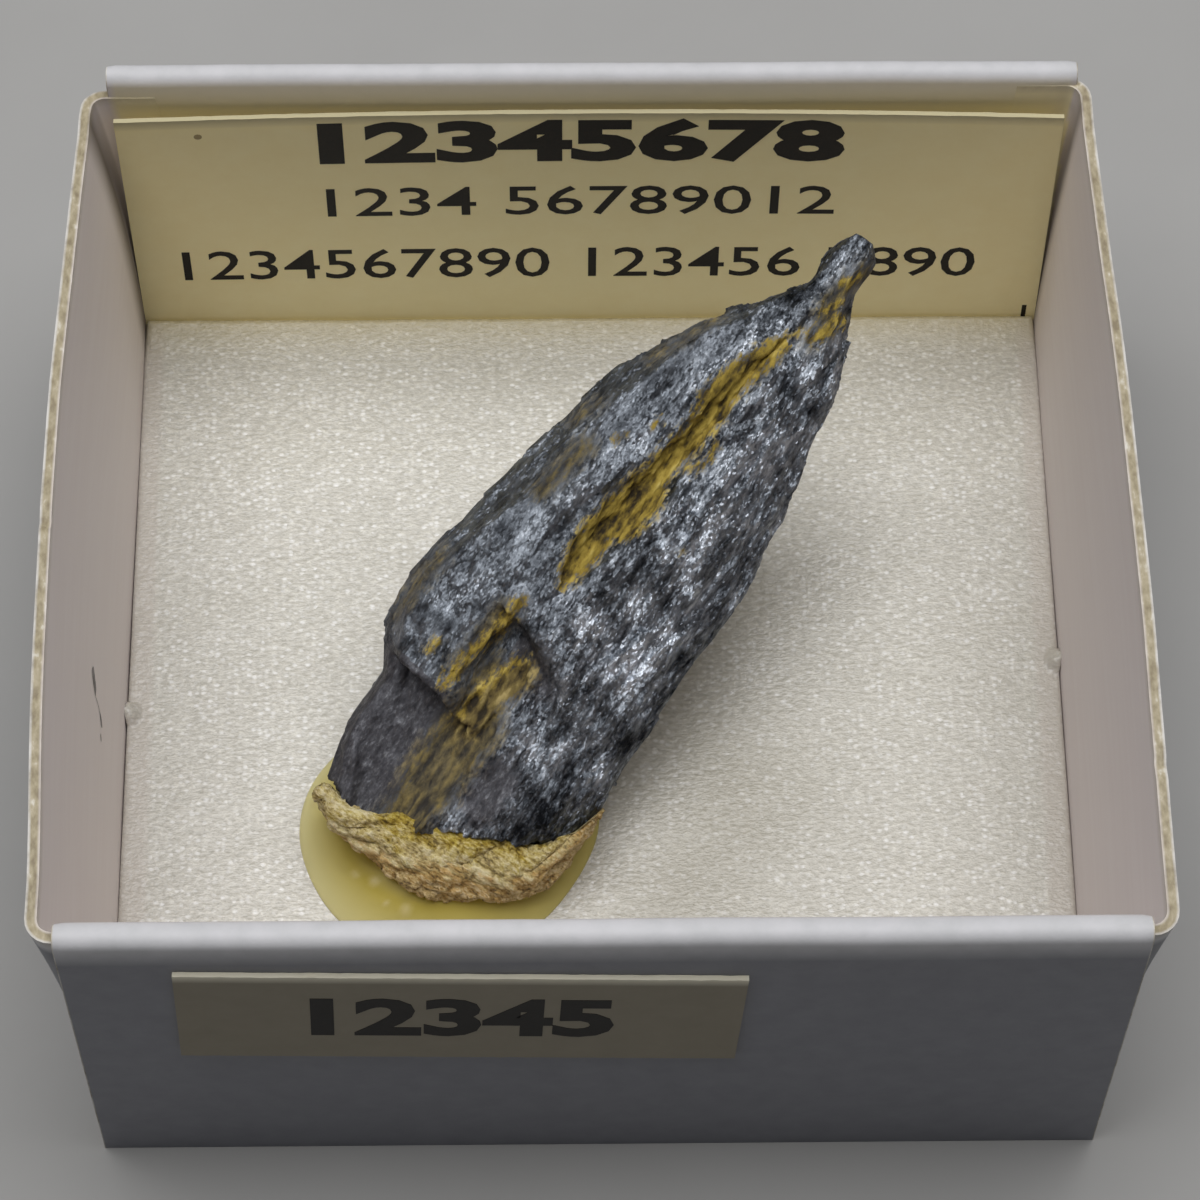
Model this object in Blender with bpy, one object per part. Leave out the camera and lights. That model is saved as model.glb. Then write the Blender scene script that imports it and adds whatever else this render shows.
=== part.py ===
"""A lump of stibnite glued into a small folded card collector's box.

The box is a square tray of white card on a flat base. Its front and back walls are rolled double, and its
side walls are single card that bulges outwards. A foam pad fills the bottom, a card label stands at the
back, a paper label sits on the front, and the stibnite leans back out of a dab of glue, tip to the right.

Lengths are in metres with +Z up. The origin is the middle of the bottom of the whole object's bounding box.
"""

import math

import bmesh
import bpy
import numpy as np
from mathutils import Matrix, Vector

MM = 0.001
FIT_GAP = 0.3 * MM                  # clearance kept between pieces that touch

# The box
BOX_WIDTH = 40.0 * MM               # over the side walls at the base, X
BOX_DEPTH = 39.2 * MM               # over the rolled walls, Y
BOX_HEIGHT = 20.25 * MM             # to the top of the rolled walls
CARD = 0.45 * MM                    # single card
ROLLED_WALL = 1.0 * MM              # two layers of card and the turned-in tab between them
BACK_WALL_TRIM = 0.25 * MM          # the back wall is a little narrower than the base, each side
CORNER_RADIUS = 1.0 * MM            # outside radius where a side wall turns in
SIDE_WALL_DROP = 0.6 * MM           # side walls end this far below the rolled walls
TAB_INSET = 0.42 * MM               # outer face of the turned-in tab, behind the rolled wall's face
TAB_REACH = 3.0 * MM                # how far each tab runs inside a rolled wall
# How far the top of each side wall stands out past the base: back end, front end, extra at the middle
LEFT_FLARE = (0.90 * MM, 1.18 * MM, 0.45 * MM)
RIGHT_FLARE = (0.30 * MM, 1.15 * MM, 0.26 * MM)
LEFT_BACK_DIP = 0.7 * MM            # the left wall's top edge is worn lower at its back corner
RIGHT_BACK_DIP = 0.1 * MM

# Foam pad
FOAM_TOP = 3.4 * MM
FOAM_WIDTH = 38.3 * MM
FOAM_FRONT = -18.2 * MM
FOAM_BACK = 17.25 * MM
FOAM_EDGE = 0.35 * MM               # rounding of the pad's edges
GLUE_SEAT_DEPTH = 0.6 * MM          # the hot glue sank a little into the foam

# Labels
LABEL_THICKNESS = 0.2 * MM
BACK_LABEL_WIDTH = 38.6 * MM
BACK_LABEL_TOP = 18.5 * MM
BACK_LABEL_FOOT_Y = 17.58 * MM      # front face at the foot, level with the top of the foam
BACK_LABEL_LEAN = 0.12 * MM         # how much further back the top corners are
BACK_LABEL_BOW = 0.36 * MM          # how much further back again the middle of the top edge is
NUMBER_LABEL_WIDTH = 21.2 * MM
NUMBER_LABEL_HEIGHT = 7.6 * MM
NUMBER_LABEL_CENTRE = (-5.35 * MM, 13.75 * MM)
NUMBER_LABEL_TURN = math.radians(-2.0)

# Glue dab
GLUE_CENTRE = (-6.0 * MM, -7.3 * MM)
GLUE_RADIUS = 6.15 * MM
GLUE_HEIGHT = 1.9 * MM              # above the top of the foam
GLUE_SHOULDER = (2.6, 0.55)         # its profile: flat over the middle, steep at the rim

# The specimen: its own frame has X along the crystal to the tip, Y to its left flank, Z out of its face
SPECIMEN_BASE = (-5.35 * MM, -9.46 * MM, 6.5 * MM)
SPECIMEN_LEAN = math.radians(28.0)  # its face leans back from level, towards the viewer
SPECIMEN_HEADING = math.radians(55.9)
SPECIMEN_LENGTH = 29.4              # from here on, the specimen's own measures are in millimetres
CROWN_HEIGHT = 1.9                  # of the face above the specimen's widest outline
KEEL_DEPTH = 4.2                    # of the underside below it
FACET_SEED = 11
FACET_RELIEF = 0.28

# The tray bulges more on its left, and the front label stands proud, so the box sits off the origin
BOX_OFFSET = (0.18 * MM, 0.25 * MM, 0.0)

# Outlines of the specimen's face: distance along the crystal, distance to the left
LEFT_EDGE = ((-0.6, 5.2), (0.0, 6.1), (0.5, 6.6), (1.9, 6.88), (3.1, 6.78), (4.3, 6.71), (4.9, 6.85),
             (5.1, 7.35), (5.6, 7.78), (6.4, 7.9), (8.2, 7.92), (9.4, 7.85), (12.1, 7.25), (14.7, 6.78),
             (17.4, 6.3), (18.7, 6.04), (19.5, 5.74), (21.2, 4.9), (23.1, 3.79), (24.4, 2.93),
             (25.6, 2.05), (26.15, 1.5), (26.7, 1.17), (27.15, 1.16), (27.7, 1.12), (28.2, 0.92), (28.75, 0.70),
             (29.1, 0.62), (29.4, 0.35))
RIGHT_EDGE = ((-0.6, -3.0), (4.2, -3.68), (6.6, -3.5), (8.0, -3.63), (9.6, -3.52), (11.2, -3.41),
              (12.6, -3.55), (15.3, -3.58), (17.4, -3.35), (18.2, -3.36), (19.0, -3.08), (21.0, -2.68),
              (22.1, -2.55), (23.2, -2.38), (23.7, -2.21), (24.5, -1.86), (25.1, -1.62), (25.75, -1.46),
              (26.6, -1.02), (27.1, -0.70), (27.8, -0.66), (28.7, -0.74), (29.15, -0.62), (29.4, -0.15))
# The lower end of the stibnite, and of the matrix below it: distance to the left, distance along
BASE_EDGE = ((-3.7, 4.28), (-3.3, 2.9), (-2.5, 2.0), (-1.9, 1.2), (-0.6, 0.96), (0.9, 0.35),
             (1.7, -0.25), (3.4, -0.44), (4.5, -0.43), (5.3, -0.24), (6.0, 0.0), (6.6, 0.4), (7.9, 1.2))
MATRIX_EDGE = ((-3.9, 3.3), (-3.85, 1.9), (-3.7, 0.9), (-3.1, 0.0), (-2.3, -0.86), (-1.2, -1.46),
               (0.1, -2.39), (0.7, -2.55), (1.9, -2.5), (3.5, -2.23), (4.5, -2.0), (5.3, -1.75),
               (5.9, -1.0), (6.3, -0.3))
# The ochre-filled groove and, below it, the band that runs down to the base
GROOVE_LEFT = ((-0.6, 3.1), (0.7, 3.36), (2.9, 3.6), (4.4, 3.7), (6.6, 3.9), (8.6, 3.8), (9.8, 3.2),
               (10.95, 2.85), (12.8, 3.34), (15.1, 3.05), (17.8, 2.4), (20.4, 1.98), (22.7, 1.34),
               (24.4, 0.7), (29.4, 0.35))
GROOVE_RIGHT = ((-0.6, 2.2), (1.1, 1.95), (2.5, 1.4), (5.1, 1.45), (7.3, 1.5), (8.0, 2.1), (9.8, 2.5),
                (11.1, 2.2), (12.5, 1.75), (14.5, 1.17), (16.4, 0.88), (19.9, 0.66), (22.2, 0.85),
                (24.4, 0.45), (29.4, 0.15))
GROOVE_DEPTH = ((-0.6, 0.3), (4.0, 0.3), (7.6, 0.25), (8.9, 0.05), (10.9, 0.15), (12.0, 0.5),
                (17.5, 0.6), (21.0, 0.45), (24.2, 0.2), (25.0, 0.0), (29.4, 0.0))
# The long arris along the left flank, where the face turns down
FLANK_ARRIS = ((-0.6, 4.7), (1.0, 6.1), (4.3, 6.1), (5.2, 6.5), (6.9, 7.3), (8.6, 7.3), (10.5, 6.7),
               (13.0, 5.8), (15.6, 5.45), (17.9, 5.05), (20.35, 4.3), (22.7, 3.35), (24.5, 2.2),
               (26.4, 1.2), (29.4, 0.35))
# Height of the face and depth of the underside along the crystal, as shares of the full ones
CROWN = ((-0.6, 0.75), (4.0, 0.85), (9.0, 1.0), (17.0, 1.0), (22.0, 0.85), (25.0, 0.62), (27.2, 0.36),
         (28.0, 0.46), (28.9, 0.46), (29.4, 0.32))
KEEL = ((-0.6, 0.80), (3.0, 0.95), (9.0, 1.0), (15.0, 0.92), (20.0, 0.70), (24.0, 0.45), (27.1, 0.17),
        (28.2, 0.24), (29.0, 0.24), (29.4, 0.16))
# Two breaks cross the crystal, each as (distance to the left, distance along): the overhanging end of the
# left slab, and the edge of the right slab above the lower terrace
STEP_LINE = ((-3.7, 5.15), (1.0, 4.1), (2.8, 3.75), (3.3, 4.1), (3.9, 4.45), (5.3, 4.69), (6.9, 4.9), (7.9, 5.3))
SLAB_LINE = ((-3.7, 5.7), (-1.4, 6.55), (-0.35, 7.0), (1.2, 7.85), (2.65, 8.6), (3.8, 8.85),
             (5.5, 9.0), (7.9, 9.4))
STEP_DROP = 1.75
STEP_UNDERCUT = 0.55
TERRACE_DROP = 0.75                 # beside the groove; it dies out towards the right edge
MIDDLE_ALONG = 11.0


def between(points, at):
    """Read a line of (position, value) points, straight between each point and the next."""
    return float(np.interp(at, [point[0] for point in points], [point[1] for point in points]))


def mix(first, second, share):
    return first + (second - first) * share


def plastic(name, colour, roughness, metallic=0.0):
    material = bpy.data.materials.new(name)
    material.use_nodes = True
    shader = material.node_tree.nodes["Principled BSDF"]
    shader.inputs["Base Color"].default_value = (*colour, 1.0)
    shader.inputs["Roughness"].default_value = roughness
    shader.inputs["Metallic"].default_value = metallic
    return material


def add_piece(name, mesh_data, parent, material, smooth_angle=None):
    """Make an object from a bmesh, which is used up, and stand it under its parent empty."""
    bmesh.ops.recalc_face_normals(mesh_data, faces=mesh_data.faces)
    mesh = bpy.data.meshes.new(name)
    mesh_data.to_mesh(mesh)
    mesh_data.free()
    if material:
        mesh.materials.append(material)
    if smooth_angle:
        mesh.shade_smooth()
        mesh.set_sharp_from_angle(angle=smooth_angle)
    piece = bpy.data.objects.new(name, mesh)
    bpy.context.collection.objects.link(piece)
    piece.parent = parent
    return piece


def add_empty(name, location, parent=None):
    empty = bpy.data.objects.new(name, None)
    bpy.context.collection.objects.link(empty)
    empty.location = location
    empty.parent = parent
    return empty


def add_cutter(name, mesh_data, parent):
    cutter = add_piece(name, mesh_data, parent, None)
    cutter.hide_render = True
    cutter.display_type = "WIRE"
    return cutter


def boolean(piece, other, operation):
    modifier = piece.modifiers.new(f"{operation.lower()} {other.name}", "BOOLEAN")
    modifier.operation = operation
    modifier.solver = "EXACT"
    modifier.object = other


def block(low, high):
    mesh_data = bmesh.new()
    bmesh.ops.create_cube(mesh_data, size=1.0)
    low, high = Vector(low), Vector(high)
    for vert in mesh_data.verts:
        vert.co = Vector(low[i] + (vert.co[i] + 0.5) * (high[i] - low[i]) for i in range(3))
    return mesh_data


def skin_rows(rows, close_ends=True):
    """Join rows of points, each a closed ring of the same length, into one skin."""
    mesh_data = bmesh.new()
    rings = [[mesh_data.verts.new(point) for point in row] for row in rows]
    count = len(rings[0])
    for ring, following in zip(rings, rings[1:]):
        for i in range(count):
            j = (i + 1) % count
            mesh_data.faces.new((ring[i], ring[j], following[j], following[i]))
    if close_ends:
        mesh_data.faces.new(list(reversed(rings[0])))
        mesh_data.faces.new(rings[-1])
    return mesh_data


# ---- The folded card tray -------------------------------------------------------------------------------

def rolled_wall(outer_y, inner_y, half_width):
    """A double wall: a slab whose top edge is the round of the rolled card."""
    radius = abs(outer_y - inner_y) / 2
    middle = (outer_y + inner_y) / 2
    turn = 1 if outer_y < inner_y else -1
    outline = [(outer_y, 0.0)]
    for step in range(9):
        angle = math.pi * step / 8
        outline.append((middle - turn * radius * math.cos(angle), BOX_HEIGHT - radius + radius * math.sin(angle)))
    outline.append((inner_y, 0.0))
    return skin_rows([[(x, y, z) for y, z in outline] for x in (-half_width, half_width)])


def wall_flare(flare, y, z):
    """How far a side wall stands out past the base at this place."""
    back, front, middle = flare
    along = (BOX_DEPTH / 2 - y) / BOX_DEPTH
    swell = math.sin(math.pi * min(max(along, 0.0), 1.0))
    steepness = 3.0 - 1.4 * swell
    return (mix(back, front, along) + middle * swell) * (z / BOX_HEIGHT) ** steepness


def side_wall(side, flare, back_dip):
    """A single card wall, from the tab in the front wall round to the tab in the back wall."""
    front_y = -BOX_DEPTH / 2 + TAB_INSET
    back_y = BOX_DEPTH / 2 - TAB_INSET - 0.2 * MM
    turns = 4
    rows = []
    for z in np.linspace(0.0, BOX_HEIGHT - SIDE_WALL_DROP, 8):
        outer, inner = [], []
        front_x = BOX_WIDTH / 2 + wall_flare(flare, front_y, z)
        back_x = BOX_WIDTH / 2 + wall_flare(flare, back_y, z)
        for reach, radius in ((outer, CORNER_RADIUS), (inner, CORNER_RADIUS - CARD)):
            inset = CORNER_RADIUS - radius
            reach.append((front_x - TAB_REACH, front_y + inset))
            for step in range(turns + 1):
                angle = math.pi / 2 * step / turns
                reach.append((front_x - CORNER_RADIUS + radius * math.sin(angle),
                              front_y + CORNER_RADIUS - radius * math.cos(angle)))
            for y in np.linspace(front_y + 2.5 * MM, back_y - 2.5 * MM, 11):
                reach.append((BOX_WIDTH / 2 + wall_flare(flare, y, z) - inset, y))
            for step in range(turns + 1):
                angle = math.pi / 2 * step / turns
                reach.append((back_x - CORNER_RADIUS + radius * math.cos(angle),
                              back_y - CORNER_RADIUS + radius * math.sin(angle)))
            reach.append((back_x - TAB_REACH, back_y - inset))
        ring = []
        for x, y in outer + inner[::-1]:
            near_back = min(max((y / MM - 8.0) / 11.0, 0.0), 1.0)
            ring.append((side * x, y, z * (1.0 - back_dip / BOX_HEIGHT * near_back ** 2)))
        rows.append(ring)
    return skin_rows(rows)


def make_tray(parent):
    white_card = plastic("white_card", (0.72, 0.70, 0.70), 0.6)
    half_depth = BOX_DEPTH / 2
    inside = BOX_WIDTH / 2 - 0.2 * MM
    tray = add_piece("tray", block((-inside, -half_depth + 0.3 * MM, 0.0), (inside, half_depth - 0.3 * MM, CARD)),
                     parent, white_card)
    walls = (("front_wall", rolled_wall(-half_depth, -half_depth + ROLLED_WALL, BOX_WIDTH / 2)),
             ("back_wall", rolled_wall(half_depth, half_depth - ROLLED_WALL, BOX_WIDTH / 2 - BACK_WALL_TRIM)),
             ("left_wall", side_wall(-1, LEFT_FLARE, LEFT_BACK_DIP)),
             ("right_wall", side_wall(1, RIGHT_FLARE, RIGHT_BACK_DIP)))
    for name, mesh_data in walls:
        boolean(tray, add_cutter(name, mesh_data, parent), "UNION")
    return tray


# ---- Foam, labels ---------------------------------------------------------------------------------------

def make_foam(parent):
    foam = plastic("polyethylene_foam", (0.80, 0.78, 0.72), 0.5)
    pad = block((-FOAM_WIDTH / 2, FOAM_FRONT, CARD + FIT_GAP), (FOAM_WIDTH / 2, FOAM_BACK, FOAM_TOP))
    top_edges = [edge for edge in pad.edges if all(vert.co.z > FOAM_TOP - MM for vert in edge.verts)]
    bmesh.ops.bevel(pad, geom=top_edges, offset=FOAM_EDGE, segments=3, affect="EDGES", profile=0.5)
    pad_piece = add_piece("foam_pad", pad, parent, foam)
    seat = bmesh.new()
    bmesh.ops.create_cone(seat, cap_ends=True, segments=32, radius1=GLUE_RADIUS + 2 * FIT_GAP,
                          radius2=GLUE_RADIUS + 2 * FIT_GAP, depth=2 * GLUE_SEAT_DEPTH)
    bmesh.ops.translate(seat, verts=seat.verts, vec=(*GLUE_CENTRE, FOAM_TOP))
    boolean(pad_piece, add_cutter("glue_seat", seat, parent), "DIFFERENCE")
    return pad_piece


def make_locality_label(parent):
    """A card label with its foot behind the foam, its top edge bowed back towards the wall."""
    cream_card = plastic("cream_card", (0.62, 0.55, 0.34), 0.6)
    foot = CARD + FIT_GAP
    rows = []
    for z in np.linspace(foot, BACK_LABEL_TOP, 5):
        rise = (z - foot) / (BACK_LABEL_TOP - foot)
        xs = np.linspace(-BACK_LABEL_WIDTH / 2, BACK_LABEL_WIDTH / 2, 13)
        ys = [BACK_LABEL_FOOT_Y + rise * (BACK_LABEL_LEAN
                                          + BACK_LABEL_BOW * (1 - (x / (BACK_LABEL_WIDTH / 2)) ** 2)) for x in xs]
        front = [(x, y, z) for x, y in zip(xs, ys)]
        back = [(x, y + LABEL_THICKNESS, z) for x, y in zip(xs, ys)]
        rows.append(front + back[::-1])
    return add_piece("locality_label", skin_rows(rows), parent, cream_card)


def make_number_label(parent):
    cream_paper = plastic("cream_paper", (0.62, 0.57, 0.44), 0.65)
    plate = block((-NUMBER_LABEL_WIDTH / 2, -LABEL_THICKNESS, -NUMBER_LABEL_HEIGHT / 2),
                  (NUMBER_LABEL_WIDTH / 2, 0.0, NUMBER_LABEL_HEIGHT / 2))
    bmesh.ops.rotate(plate, verts=plate.verts, matrix=Matrix.Rotation(-NUMBER_LABEL_TURN, 3, "Y"))
    label = add_piece("number_label", plate, parent, cream_paper)
    label.location = (NUMBER_LABEL_CENTRE[0], -BOX_DEPTH / 2 - FIT_GAP, NUMBER_LABEL_CENTRE[1])
    return label


# ---- The stibnite and its matrix ------------------------------------------------------------------------

class Facets:
    """Flat cleavage flakes, long in the crystal's direction, each a little tilted and a little raised."""

    def __init__(self, seed, count, length, width):
        dice = np.random.default_rng(seed)
        self.stretch = np.array([1.0 / length, 1.0 / width])
        self.centres = np.column_stack((dice.uniform(-2.0, 31.0, count), dice.uniform(-5.0, 9.0, count)))
        self.raised = dice.uniform(-1.0, 1.0, count)
        self.tilts = dice.uniform(-1.0, 1.0, (count, 2))

    def height(self, along, left):
        away = (np.array([along, left]) - self.centres) * self.stretch
        nearest = int(np.argmin((away ** 2).sum(axis=1)))
        return 0.5 * self.raised[nearest] + 0.5 * float(away[nearest] @ self.tilts[nearest])


FACE_FLAKES = Facets(FACET_SEED, 150, length=2.6, width=0.9)
KEEL_FLAKES = Facets(FACET_SEED + 1, 60, length=4.5, width=1.5)

RIGHT_SLAB_SHARES = (0.13, 0.28, 0.43, 0.57, 0.71, 0.85)
LEFT_SLAB_SHARES = (0.2, 0.4, 0.6, 0.8)


def column_lefts(along):
    """Where the lines that run along the crystal cross this station, from the right edge to the left."""
    right, left = between(RIGHT_EDGE, along), between(LEFT_EDGE, along)
    span = left - right
    groove_right = min(max(between(GROOVE_RIGHT, along), right + 0.45 * span), right + 0.72 * span)
    groove_left = max(between(GROOVE_LEFT, along), groove_right + 0.04 * span)
    arris = min(max(between(FLANK_ARRIS, along), groove_left + 0.1 * span), left - 0.03 * span)
    shoulder = right + 0.04 * span
    lefts = [right, shoulder]
    lefts += [mix(shoulder, groove_right, share) for share in RIGHT_SLAB_SHARES]
    floor = 0.12 if along < SLAB_LINE[5][1] else 0.3
    lefts += [groove_right, mix(groove_right, groove_left, floor), mix(groove_left, groove_right, floor), groove_left]
    lefts += [mix(groove_left, arris, share) for share in LEFT_SLAB_SHARES]
    lefts += [arris, mix(arris, left, 0.55), left]
    return lefts


COLUMNS = 19
GROOVE_COLUMNS = (9, 10)
FADED_COLUMNS = 7                   # columns over which the terrace's step dies out
LEFT_SLAB_SLOPE = {0: 0.55, 1: 0.22}    # the left slab slopes down to the band: first columns' shares of the drop
FIRST_LEFT_SLAB, ARRIS_COLUMN = 11, 16


def face_height(column, along, left):
    """Height of the face over the widest outline, before any break is taken off it."""
    crown = CROWN_HEIGHT * between(CROWN, along)
    shares = (-0.30, 0.02, 0.32, 0.56, 0.72, 0.84, 0.92, 0.97, 1.0, 1.0, 1.02,
              1.06, 1.05, 1.01, 0.97, 0.92, 0.84, 0.15, -0.35)
    height = crown * shares[column]
    if column in GROOVE_COLUMNS:
        height -= between(GROOVE_DEPTH, along)
    if 0 < column < COLUMNS - 1:
        fade = min(1.0, (SPECIMEN_LENGTH - along) / 3.0)
        height += FACET_RELIEF * fade * FACE_FLAKES.height(along, left)
    return height


def break_drop(column, row_zone):
    """What the two breaks take off the face: the platform on the left, the terrace on the right."""
    if row_zone == "platform" and column >= FIRST_LEFT_SLAB:
        return STEP_DROP if column < ARRIS_COLUMN else STEP_DROP * (0.75 if column == ARRIS_COLUMN else 0.25)
    if row_zone == "terrace" and column >= FIRST_LEFT_SLAB:
        return TERRACE_DROP * LEFT_SLAB_SLOPE.get(column - FIRST_LEFT_SLAB, 0.0)
    if row_zone in ("platform", "terrace") and column < FIRST_LEFT_SLAB:
        if column in GROOVE_COLUMNS:
            return TERRACE_DROP + (STEP_DROP - TERRACE_DROP) * (0.1 if row_zone == "terrace" or
                                                                column == GROOVE_COLUMNS[0] else 0.6)
        return TERRACE_DROP * min(1.0, column / FADED_COLUMNS) ** 1.5
    return 0.0


def underside_depth(column, along, lefts):
    """Depth of the keeled underside: two broad facets that meet along a keel, with blunt edges."""
    right, left, here = lefts[0], lefts[-1], lefts[column]
    share = (here - right) / (left - right)
    keel_at = 0.58
    full = KEEL_DEPTH * between(KEEL, along)
    if share < keel_at:
        depth = mix(0.34, 1.0, (share / keel_at) ** 0.8)
    else:
        depth = mix(0.42, 1.0, ((1 - share) / (1 - keel_at)) ** 0.75)
    relief = FACET_RELIEF * 1.5 * min(1.0, (SPECIMEN_LENGTH - along) / 5.0)
    return full * depth + relief * KEEL_FLAKES.height(along, here)


def station_rows():
    """Rows across the crystal: (zone, function that gives the distance along for a column)."""
    rows = []
    for share in np.linspace(0.0, 1.0, 8)[:-1]:
        rows.append(("platform", "base", "step", share * 0.93, 0.0))
    rows.append(("platform", "step", "step", 0.0, STEP_UNDERCUT))
    rows.append(("terrace", "step", "slab", 0.0, 0.06))
    for share in np.linspace(0.0, 1.0, 8)[1:-1]:
        rows.append(("terrace", "step", "slab", share, 0.0))
    rows.append(("terrace", "slab", "middle", 0.0, -0.08))
    rows.append(("slab", "slab", "middle", 0.0, 0.08))
    for share in np.linspace(0.0, 1.0, 6)[1:-1]:
        rows.append(("slab", "slab", "middle", share, 0.0))
    for share in np.linspace(0.0, 1.0, 37):
        rows.append(("slab", "middle", "tip", share, 0.0))
    return rows


def line_along(line, left):
    if line == "base":
        return between(BASE_EDGE, left)
    if line == "step":
        return between(STEP_LINE, left)
    if line == "slab":
        return between(SLAB_LINE, left)
    return MIDDLE_ALONG if line == "middle" else SPECIMEN_LENGTH


def station(row, column):
    """Settle a grid point: its distance along and to the left each depend on the other."""
    zone, start, end, share, shift = row
    undercut = shift if zone != "platform" or column >= FIRST_LEFT_SLAB - 1 else 0.0
    along = mix(line_along(start, 1.0), line_along(end, 1.0), share)
    for _ in range(6):
        left = column_lefts(along)[column]
        along = mix(line_along(start, left), line_along(end, left), share) + undercut
    return along, left


def specimen_rows():
    """Rings of points round the stibnite, from base to tip."""
    rings = []
    for row in station_rows():
        top, bottom = [], []
        for column in range(COLUMNS):
            along, left = station(row, column)
            lefts = column_lefts(along)
            height = face_height(column, along, left) - break_drop(column, row[0])
            plain_row = (row[0], row[1], row[2], row[3], 0.0)
            along_below, left_below = station(plain_row, column)
            depth = underside_depth(column, along_below, column_lefts(along_below))
            height = max(height, -depth + 0.25)
            top.append((along, left, height))
            bottom.append((along_below, left_below, -depth))
        rings.append(top + bottom[::-1])
    return rings


def make_specimen(parent):
    stibnite = plastic("stibnite", (0.10, 0.105, 0.12), 0.32, 1.0)
    rings = [[tuple(value * MM for value in point) for point in ring] for ring in specimen_rows()]
    return add_piece("stibnite", skin_rows(rings), parent, stibnite)


def make_matrix(parent):
    """The crumbly rock on the stibnite's broken base, a rounded crust a few millimetres thick."""
    cream_rock = plastic("cream_rock", (0.66, 0.55, 0.34), 0.85)
    dice = np.random.default_rng(FACET_SEED + 5)
    rows = []
    steps = 7
    for step in range(steps):
        reach = step / (steps - 1)
        ring_top, ring_bottom = [], []
        swell = math.sqrt(max(0.0, 1.0 - (0.93 * reach) ** 2))
        for left in np.linspace(-3.62, 6.15, 15):
            start = min(between(BASE_EDGE, left + aside) for aside in (-0.4, 0.0, 0.4)) - FIT_GAP / MM
            end = between(MATRIX_EDGE, left)
            along = mix(start, min(end, start - 0.5), reach)
            edge = 1.0 - abs((left - 1.3) / 5.6) ** 3
            top = mix(-1.0, 0.55, swell) * mix(0.6, 1.0, edge) - 0.25
            bottom = -mix(1.9, 3.15, swell) * mix(0.45, 1.0, edge)
            if 0 < step:
                top += dice.uniform(-0.16, 0.16)
                bottom += dice.uniform(-0.16, 0.16)
                along += dice.uniform(-0.10, 0.10)
            ring_top.append((along, left, top))
            ring_bottom.append((along, left, bottom))
        rows.append([tuple(value * MM for value in point) for point in ring_top + ring_bottom[::-1]])
    return add_piece("matrix", skin_rows(rows), parent, cream_rock)


# ---- The glue -------------------------------------------------------------------------------------------

def make_glue(parent, specimen_frame):
    """A flat dome of glue on the foam, with the socket that the base of the specimen sits in."""
    yellow_glue = plastic("hot_melt_glue", (0.60, 0.52, 0.20), 0.3)
    segments, rows = 36, []
    profile = [(1.0, FOAM_TOP - GLUE_SEAT_DEPTH + FIT_GAP)]
    for reach in (1.0, 0.995, 0.97, 0.91, 0.80, 0.62, 0.35):
        profile.append((reach, FOAM_TOP + GLUE_HEIGHT * (1.0 - reach ** GLUE_SHOULDER[0]) ** GLUE_SHOULDER[1]))
    for reach, level in profile:
        radius = GLUE_RADIUS * reach
        ring = []
        for step in range(segments):
            angle = 2 * math.pi * step / segments
            wander = 1.0 + 0.025 * math.sin(2 * angle + 0.6) + 0.015 * math.sin(5 * angle)
            ring.append((GLUE_CENTRE[0] + radius * wander * math.cos(angle),
                         GLUE_CENTRE[1] + radius * wander * math.sin(angle), level))
        rows.append(ring)
    dab = add_piece("glue_dab", skin_rows(rows), parent, yellow_glue, math.radians(50))

    socket = bmesh.new()
    clear = 1.3 * FIT_GAP
    near_base = [point for ring in specimen_rows()[::2] for point in ring[::2] if point[0] < 11.0]
    near_base += [(along, left, height) for along, left in ((-2.75, 0.2), (-2.75, 3.2), (-1.9, 5.7), (0.2, -3.4),
                                                            (-1.2, -2.2), (-0.4, 6.5))
                  for height in (0.0, -3.0)]
    near_base += [(along, left, -3.5) for along, left in ((-1.5, 1.0), (-1.3, 3.0), (0.6, -1.4))]
    for point in near_base:
        for corner in ((-1, 0, 0), (1, 0, 0), (0, -1, 0), (0, 1, 0), (0, 0, -1), (0, 0, 1)):
            socket.verts.new([point[i] * MM + corner[i] * clear for i in range(3)])
    hull = bmesh.ops.convex_hull(socket, input=socket.verts)
    loose = {item for item in hull["geom_interior"] + hull["geom_unused"] if isinstance(item, bmesh.types.BMVert)}
    bmesh.ops.delete(socket, geom=list(loose), context="VERTS")
    bmesh.ops.dissolve_limit(socket, angle_limit=math.radians(8), verts=socket.verts, edges=socket.edges)
    boolean(dab, add_cutter("socket", socket, specimen_frame), "DIFFERENCE")
    return dab


def make_object():
    for item in list(bpy.data.objects):
        bpy.data.objects.remove(item, do_unlink=True)
    box = add_empty("boxed_specimen", BOX_OFFSET)
    make_tray(box)
    make_foam(box)
    make_locality_label(box)
    make_number_label(box)
    lean = add_empty("specimen_lean", SPECIMEN_BASE, box)
    lean.rotation_euler = (SPECIMEN_LEAN, 0.0, 0.0)
    specimen_frame = add_empty("specimen_frame", (0.0, 0.0, 0.0), lean)
    specimen_frame.rotation_euler = (0.0, 0.0, SPECIMEN_HEADING)
    make_specimen(specimen_frame)
    make_matrix(specimen_frame)
    make_glue(box, specimen_frame)


make_object()
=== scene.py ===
"""The looks of a stibnite specimen glued into a small folded card box, as a mineral collector keeps it."""

import math

import bmesh
import bpy
import numpy as np
from mathutils import Matrix, Vector, kdtree, noise
from mathutils.bvhtree import BVHTree


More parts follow.
